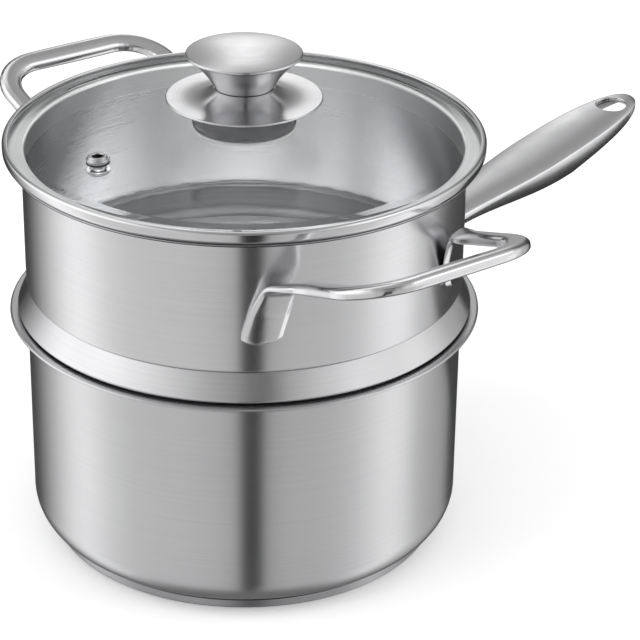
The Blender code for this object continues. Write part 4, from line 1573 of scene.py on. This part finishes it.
    def build(self) -> None:
        """Make the glass and the band, then the vent's three pieces."""
        self.add("lid_pane", self.pane(), "lid_glass", "lid_glass", LID_GLASS.make())
        band = self.add(
            "lid_rim_band", self.rim_band(), "lid_band", "band_polished_steel", BAND_STEEL.make()
        )
        self.paint(band, CHANNEL_STEEL.make(), self.is_hidden)
        self.paint(band, SKIRT_STEEL.make(), self.is_skirt)
        place, hole, flange = self.vent_place(), self.vent_hole, self.eyelet_flange
        under = -(self.thickness + GAP)
        seal = washer(hole, flange, 0.9, GAP, (0.1, 0.2, 0.2, 0.1))
        collar = washer(hole, flange, under, under - self.collar_height, (0.1, 0.2, 0.3, 0.1))
        for name, corners, steps, node, slot, finish in (
            ("steam_eyelet", self.eyelet(), 5, "vent_eyelet", "polished_steel", FITTING_STEEL),
            ("steam_seal", seal, 4, "vent_seal", "silicone", DARK_SILICONE),
            ("steam_collar", collar, 4, "vent_collar", "polished_steel", FITTING_STEEL),
        ):
            mesh = turned_piece(name, corners, steps, self.vent_steps)
            self.add(name, mesh, node, slot, finish.make(), place)


@dataclass
class Knob(SubAssembly):
    """The lid's knob, from its crown down to the screw under the glass."""

    body: str = "lid"
    gasket: tuple[float, float] = (20.3, 23.3)
    gasket_bottom: float = 195.87
    gasket_height: float = 1.2
    seat: float = 23.3
    seat_hub: float = 7.0
    seat_wall: float = 2.2
    seat_foot: float = 1.9
    seat_step: float = 0.4
    seat_bottom: float = 197.37
    seat_height: float = 12.0
    guard: float = 35.2
    guard_sheet: float = 0.9
    guard_steps: int = 24
    swell: float = 3.4
    neck: float = 13.6
    neck_height: float = 4.4
    stem: float = 13.2
    stem_height: float = 14.3
    stem_top: float = 24.8
    stem_steps: int = 20
    spread: float = 0.6
    thread: float = 10.5
    crown: float = 26.0
    crown_edge: float = 1.3
    crown_rise: float = 2.1
    crown_inset: float = 1.2
    crown_steps: int = 15
    # Width and height of the bevel under its edge
    bevel: tuple[float, float] = (0.7, 0.4)
    bore: float = 2.8
    segments: int = 128

    def spacer(self) -> list[Corner]:
        """The round spacer, open underneath round its hub.

        Returns:
            Its outline.
        """
        base, top = self.seat_bottom, self.seat_bottom + self.seat_height
        outer, inner = self.seat - self.seat_step, self.seat - self.seat_wall
        foot, roof = base + self.seat_foot, top - self.seat_wall
        return [
            Corner(self.bore, top), Corner(outer, top, 0.5),
            Corner(outer, foot + self.seat_step, 0.2), Corner(self.seat, foot, 0.3),
            Corner(self.seat, base, 0.4), Corner(inner, base, 0.3),
            Corner(inner, roof, 1.0), Corner(self.seat_hub, roof, 1.0),
            Corner(self.seat_hub, base, 0.4), Corner(self.bore, base, 0.3),
        ]

    def disc(self, bottom: float) -> list[Corner]:
        """The finger guard, which swells up to the stem in one soft curve.

        Args:
            bottom: Height of its underside.

        Returns:
            Its outline.
        """
        top = bottom + self.guard_sheet
        corners = [Corner(self.bore, top + self.neck_height)]
        for step in range(self.guard_steps):
            share = step / self.guard_steps
            radius = self.neck + (self.guard - self.neck) * share
            corners.append(Corner(radius, top + self.neck_height * (1 - share) ** self.swell))
        rim = [Corner(self.guard, top, 0.4), Corner(self.guard, bottom, 0.4)]
        return corners + rim + [Corner(self.bore, bottom)]

    def trumpet(self, foot: float) -> list[Corner]:
        """The stem, which widens upwards, with the bore for the screw's thread.

        Args:
            foot: Height of its lower end.

        Returns:
            Its outline, from the axis to the axis.
        """
        corners = [Corner(0.0, foot + self.stem_height)]
        for step in range(self.stem_steps, -1, -1):
            share = step / self.stem_steps
            wide = self.spread * share + (1 - self.spread) * share * share
            radius = self.stem + (self.stem_top - self.stem) * wide
            corners.append(Corner(radius, foot + self.stem_height * share))
        roof = foot + self.thread
        return corners + [Corner(self.bore, foot, 0.3), Corner(self.bore, roof), Corner(0.0, roof)]

    def cap(self, bottom: float) -> list[Corner]:
        """The low domed crown.

        Args:
            bottom: Height of its underside.

        Returns:
            Its outline, from the axis to the axis.
        """
        edge = bottom + self.crown_edge
        dome = (self.crown ** 2 + self.crown_rise ** 2) / (2 * self.crown_rise)
        corners = []
        for step in range(self.crown_steps + 1):
            radius = (self.crown - self.crown_inset) * step / self.crown_steps
            height = edge + self.crown_rise - dome + math.sqrt(dome ** 2 - radius ** 2)
            corners.append(Corner(radius, height))
        wide, high = self.bevel
        return corners + [
            Corner(self.crown, edge, 0.5), Corner(self.crown, bottom + high, 0.3),
            Corner(self.crown - wide, bottom, 0.3), Corner(0.0, bottom),
        ]

    def build(self) -> None:
        """Make every turned piece of the knob in order from the glass up, then the screw."""
        # The spacer's darker tone is painted shade under the finger guard
        steel, stem, spacer = KNOB_STEEL.make(), STEM_STEEL.make(), SPACER_PAINTED_SHADE_STEEL.make()
        soft, fitting = MILKY_SILICONE.make(), FITTING_STEEL.make()
        low, high = self.gasket_bottom, self.gasket_bottom + self.gasket_height
        gasket = washer(*self.gasket, high, low, (0.2, 0.35, 0.35, 0.2))
        disc = self.seat_bottom + self.seat_height + GAP
        foot = disc + self.guard_sheet + self.neck_height + GAP
        crown = foot + self.stem_height + GAP
        for name, corners, closed, node, slot, material in (
            ("knob_ring_upper", gasket, True, "knob_gasket_top", "clear_silicone", soft),
            ("knob_spacer", self.spacer(), True, "knob_seat", "knob_steel", spacer),
            ("knob_finger_guard", self.disc(disc), True, "knob_guard", "knob_steel", steel),
            ("knob_trumpet", self.trumpet(foot), False, "knob_stem", "knob_steel", stem),
            ("knob_cap", self.cap(crown), False, "knob_crown", "knob_steel", steel),
        ):
            mesh = turned_piece(name, corners, 6, self.segments, closed)
            self.add(name, mesh, node, slot, material)
        self.dress("knob_gasket_bottom", DARK_SILICONE.make())
        self.dress("knob_washer", fitting)
        self.dress("knob_screw", fitting)


@dataclass
class Studio:
    """Floor, light tent, lamps, background and camera."""

    azimuth: float = -132.0
    distance: float = 993.6
    height: float = 601.3
    pitch: float = 25.84
    lens: float = 134.6
    sensor: float = 36.0
    clip: tuple[float, float] = (0.05, 100.0)
    shift: tuple[float, float] = (0.1184, -0.0647)
    table_radius: float = 8000.0
    table_drop: float = 0.2
    table_steps: int = 64
    table_dust: float = 9.0
    table_roughness: tuple[float, float] = (0.5, 0.6)
    table_lift: float = 0.12
    room_light: float = 0.9
    aim_height: float = 0.1
    tent_radius: float = 15000.0
    tent_steps: int = 24
    # Cloth strips of the tent: degrees from the camera's direction, and level.
    # The low row stands round the table, the middle row hangs behind it, the high row above both.
    low_row: Pairs = (
        (-180, 0.35), (-171, 0.35), (-166, 0.04), (-150, 0.04), (-140, 0.14), (-124, 0.50),
        (-111, 0.84), (-98, 1.08), (-88, 1.0), (-74, 0.74), (-60, 0.64), (-30, 0.61),
        (-12, 0.54), (-3, 0.46), (-1, 0.02), (9, 0.02), (11, 0.42), (22, 0.51), (45, 0.55),
        (60, 0.64), (74, 0.90), (85, 1.02), (94, 0.94), (103, 0.62), (120, 0.46), (138, 0.36),
        (144, 0.04), (166, 0.04), (171, 0.35), (180, 0.35),
    )
    middle_row: Pairs = (
        (-180, 1.15), (-177.5, 1.05), (-175, 0.42), (-166, 0.22), (-158, 0.12), (-146, 0.15),
        (-134, 0.70), (-118, 1.2), (-80, 1.2), (-63, 1.05), (-41, 0.78), (-20, 0.52), (-5, 0.36),
        (3, 0.20), (12, 0.17), (22, 0.42), (35, 0.62), (57, 0.90), (78, 0.85), (108, 0.85),
        (122, 0.50), (138, 0.35), (146, 0.12), (158, 0.12), (168, 0.25), (174, 0.42),
        (177, 0.98), (180, 1.15),
    )
    high_row: Pairs = (
        (-180, 0.32), (-177, 0.55), (-172, 0.95), (-150, 0.95), (-135, 0.90), (-120, 1.2),
        (-70, 1.2), (-56, 0.80), (-30, 0.40), (-12, 0.20), (0, 0.15), (14, 0.15), (30, 0.30),
        (52, 0.64), (66, 1.4), (104, 1.4), (120, 0.64), (150, 0.45), (165, 0.36), (175, 0.30),
        (180, 0.32),
    )
    # What shines into the pot through the glass
    inner_row: Pairs = (
        (-180, 1.5), (-160, 1.3), (-144, 1.1), (-109, 0.9), (-90, 0.6), (-72, 0.8), (-52, 1.4),
        (-31, 2.0), (-8, 3.0), (8, 2.8), (20, 2.0), (34, 1.6), (48, 0.8), (60, 1.0), (76, 1.9),
        (93, 1.5), (112, 0.7), (129, 1.0), (147, 1.3), (165, 1.4), (180, 1.5),
    )
    # Where one row gives way to the next, as sines of the elevation
    middle_from: tuple[float, float] = (0.0, 0.25)
    high_from: tuple[float, float] = (0.53, 0.64)
    roof_from: tuple[float, float] = (0.75, 0.95)
    ground_from: tuple[float, float] = (-0.74, -0.98)
    roof_level: float = 0.38
    ground_level: float = 0.16
    # A ray out of the pot has crossed more faces of the pane than the two on its way in
    pane_crossings: float = 2.5

    def floor(self) -> None:
        """A white table top that takes the object's shadow."""
        builder = bmesh.new()
        radius, drop = self.table_radius * MM, self.table_drop * MM
        bmesh.ops.create_circle(builder, cap_ends=True, segments=self.table_steps, radius=radius)
        bmesh.ops.translate(builder, vec=(0.0, 0.0, -drop), verts=builder.verts)
        table = link_object("table_top", finish_mesh("table_top", builder))
        material, tree = empty_material("white_table_laminate")
        place = add_node(tree, "TexCoord").outputs["Object"]
        dust = add_node(tree, "TexNoise", {"Vector": place, "Scale": self.table_dust}).outputs[0]
        low, high = self.table_roughness
        rough = add_node(
            tree, "MapRange", {"Value": dust, "To Min": low, "To Max": high}
        ).outputs[0]
        # The camera sees the laminate a little lighter, so that only the near shadow stays
        seen = add_node(tree, "LightPath").outputs["Is Camera Ray"]
        lift = add_node(tree, "MapRange", {"Value": seen, "To Max": self.table_lift}).outputs[0]
        add_surface(tree, "BsdfPrincipled", {
            "Base Color": WHITE, "Roughness": rough, "Specular IOR Level": 0.0,
            "Emission Color": WHITE, "Emission Strength": lift,
        })
        table.data.materials.append(material)
        # Reflections look past the table into the tent
        table.visible_glossy = False

    @staticmethod
    def strips(tree: NodeTree, share: NodeSocket, row: Pairs) -> NodeSocket:
        """One row of cloth strips round the tent.

        Args:
            tree: The tent's tree.
            share: Place round the tent, from 0 to 1.
            row: Degrees and level of each stop.

        Returns:
            The row's level.
        """
        ramp = add_node(tree, "ValToRGB", {"Fac": share})
        stops = ramp.color_ramp.elements
        for index, (degrees, level) in enumerate(row):
            spot = (degrees + 180) / 360
            stop = stops[index] if index < 2 else stops.new(spot)
            stop.position = spot
            stop.color = (level, level, level, 1.0)
        return ramp.outputs[0]

    def tent_material(self) -> Material:
        """Glow of the tent's cloth and of the dark strips hung in it.

        Returns:
            The material.
        """
        material, tree = empty_material("light_tent_cloth")
        place = add_node(tree, "NewGeometry").outputs["Position"]
        aim = add_node(tree, "VectorMath", {0: place}, operation="NORMALIZE").outputs[0]
        parts = add_node(tree, "SeparateXYZ", {0: aim})
        angle = add_node(
            tree, "Math", {0: parts.outputs["Y"], 1: parts.outputs["X"]}, operation="ARCTAN2"
        ).outputs[0]
        turns = add_node(
            tree, "Math", {0: angle, 1: 1 / math.tau, 2: 0.5 - self.azimuth / 360},
            operation="MULTIPLY_ADD",
        ).outputs[0]
        share = add_node(tree, "Math", {0: turns}, operation="FRACT").outputs[0]
        level = self.strips(tree, share, self.low_row)
        for (low, high), upper in (
            (self.middle_from, self.strips(tree, share, self.middle_row)),
            (self.high_from, self.strips(tree, share, self.high_row)),
            (self.roof_from, (self.roof_level,) * 3 + (1.0,)),
            (self.ground_from, (self.ground_level,) * 3 + (1.0,)),
        ):
            blend = add_node(
                tree, "MapRange", {"Value": parts.outputs["Z"], "From Min": low, "From Max": high},
                interpolation_type="SMOOTHSTEP",
            ).outputs[0]
            level = self.mixed(tree, blend, level, upper)
        path = add_node(tree, "LightPath")
        leaving = add_node(
            tree, "Math", {0: path.outputs["Transmission Depth"], 1: self.pane_crossings},
            operation="GREATER_THAN",
        ).outputs[0]
        level = self.mixed(tree, leaving, level, self.strips(tree, share, self.inner_row))
        # Straight through the glass the room is white, and only a reflection shows the strips
        level = self.mixed(tree, path.outputs["Glossy Depth"], WHITE, level)
        add_surface(tree, "Emission", {"Color": level, "Strength": 1.0})
        return material

    @staticmethod
    def mixed(
        tree: NodeTree, share: NodeSocket,
        first: Union[Sequence[float], NodeSocket],
        second: Union[Sequence[float], NodeSocket],
    ) -> NodeSocket:
        """Mix two levels of light.

        Args:
            tree: The tent's tree.
            share: How much of the second one there is, held between 0 and 1.
            first: One level.
            second: The other level.

        Returns:
            The mix.
        """
        wires: Wires = {0: share, 6: first, 7: second}
        return add_node(tree, "Mix", wires, data_type="RGBA", clamp_factor=True).outputs[2]

    def tent(self) -> None:
        """A tent that only reflections see, as packshots of metal are lit."""
        points = []
        for step in range(self.tent_steps + 1):
            angle = math.pi * step / self.tent_steps
            points.append(Vector((math.sin(angle), math.cos(angle))) * self.tent_radius)
        points[0].x = points[-1].x = 0.0
        mesh = turned_mesh("light_tent", points, 2 * self.tent_steps, closed=False)
        item = link_object("light_tent", mesh)
        item.data.materials.append(self.tent_material())
        self.reflect_only(item)

    def card(self, name: str, corner: Vector, width: Vector, height: Vector, level: float) -> None:
        """Hang a card that only reflections see.

        Args:
            name: The card's name.
            corner: Its first corner in mm.
            width: One side in mm.
            height: The other side in mm.
            level: How bright it is, 1 for white.
        """
        builder = bmesh.new()
        spots = (corner, corner + width, corner + width + height, corner + height)
        builder.faces.new([builder.verts.new(spot * MM) for spot in spots])
        item = link_object(name, finish_mesh(name, builder))
        material, tree = empty_material(name + "_cloth")
        add_surface(tree, "Emission", {"Color": (level, level, level, 1.0), "Strength": 1.0})
        item.data.materials.append(material)
        self.reflect_only(item)

    @staticmethod
    def reflect_only(item: Object) -> None:
        """Hide a studio piece from all but reflections and rays through glass.

        Args:
            item: The piece.
        """
        item.visible_camera = False
        item.visible_diffuse = False
        item.visible_shadow = False
        item.visible_volume_scatter = False

    def background(self) -> None:
        """White all round, with soft light from it."""
        world = bpy.data.worlds.new("white_room")
        bpy.context.scene.world = world
        world.use_nodes = True
        tree = world.node_tree
        tree.nodes.clear()
        path = add_node(tree, "LightPath")
        seen = add_node(
            tree, "Math",
            {0: path.outputs["Is Camera Ray"], 1: path.outputs["Is Glossy Ray"]},
            operation="MAXIMUM",
        ).outputs[0]
        seen = add_node(
            tree, "Math", {0: seen, 1: path.outputs["Is Transmission Ray"]}, operation="MAXIMUM"
        ).outputs[0]
        level = add_node(tree, "MapRange", {"Value": seen, "To Min": self.room_light}).outputs[0]
        back = add_node(tree, "Background", {"Color": WHITE, "Strength": level})
        add_node(tree, "OutputWorld", {"Surface": back.outputs[0]})

    def lamp(
        self, name: str, azimuth: float, height: float, distance: float, size: float, watts: float
    ) -> None:
        """Hang one soft box that looks at the object.

        Args:
            name: The lamp's name.
            azimuth: Degrees from the camera's direction.
            height: Height in metres.
            distance: Distance from the axis in metres.
            size: Side in metres.
            watts: Power.
        """
        data = bpy.data.lights.new(name, "AREA")
        data.shape, data.size, data.energy = "SQUARE", size, watts
        item = link_object(name, data)
        angle = math.radians(self.azimuth + azimuth)
        item.location = (distance * math.cos(angle), distance * math.sin(angle), height)
        aim = Vector((0.0, 0.0, self.aim_height)) - item.location
        item.rotation_euler = aim.to_track_quat("-Z", "Y").to_euler()
        item.visible_glossy = item.visible_transmission = False

    def camera(self) -> None:
        """The photo's viewpoint, fitted to the rims of pan and lid."""
        data = bpy.data.cameras.new("photo_camera")
        data.sensor_width, data.lens = self.sensor, self.lens
        data.shift_x, data.shift_y = self.shift
        data.clip_start, data.clip_end = self.clip
        item = link_object("photo_camera", data)
        angle = math.radians(self.azimuth)
        out, along = self.distance * math.cos(angle), self.distance * math.sin(angle)
        item.location = Vector((out, along, self.height)) * MM
        item.rotation_euler = (math.radians(90 - self.pitch), 0.0, math.radians(self.azimuth + 90))
        bpy.context.scene.camera = item

    def build(self) -> None:
        """Set up the whole studio."""
        self.camera()
        self.floor()
        self.tent()
        self.card(
            "black_card_by_handle", corner=Vector((190, -30, -10)), width=Vector((310, 98, 0)),
            height=Vector((20, -150, 70)), level=0.05,
        )
        self.background()
        self.lamp("soft_box_left", azimuth=-70.0, height=1.5, distance=1.3, size=1.2, watts=9.0)
        self.lamp("soft_box_right", azimuth=80.0, height=1.3, distance=1.4, size=1.0, watts=6.0)
        bpy.context.scene.view_settings.view_transform = "Standard"


def main() -> None:
    """Build every sub-assembly on the frame and set up the studio."""
    logging.basicConfig(level=logging.INFO, format="%(message)s")
    Studio().build()
    groups: list[SubAssembly] = [
        PanBody(), PanHandle(), SteamerBody(), LoopHandle(), LoopHandle(side="rear", turn=82.6),
        Lid(), Knob(),
    ]
    for group in groups:
        group.build()


if __name__ == "__main__":
    main()
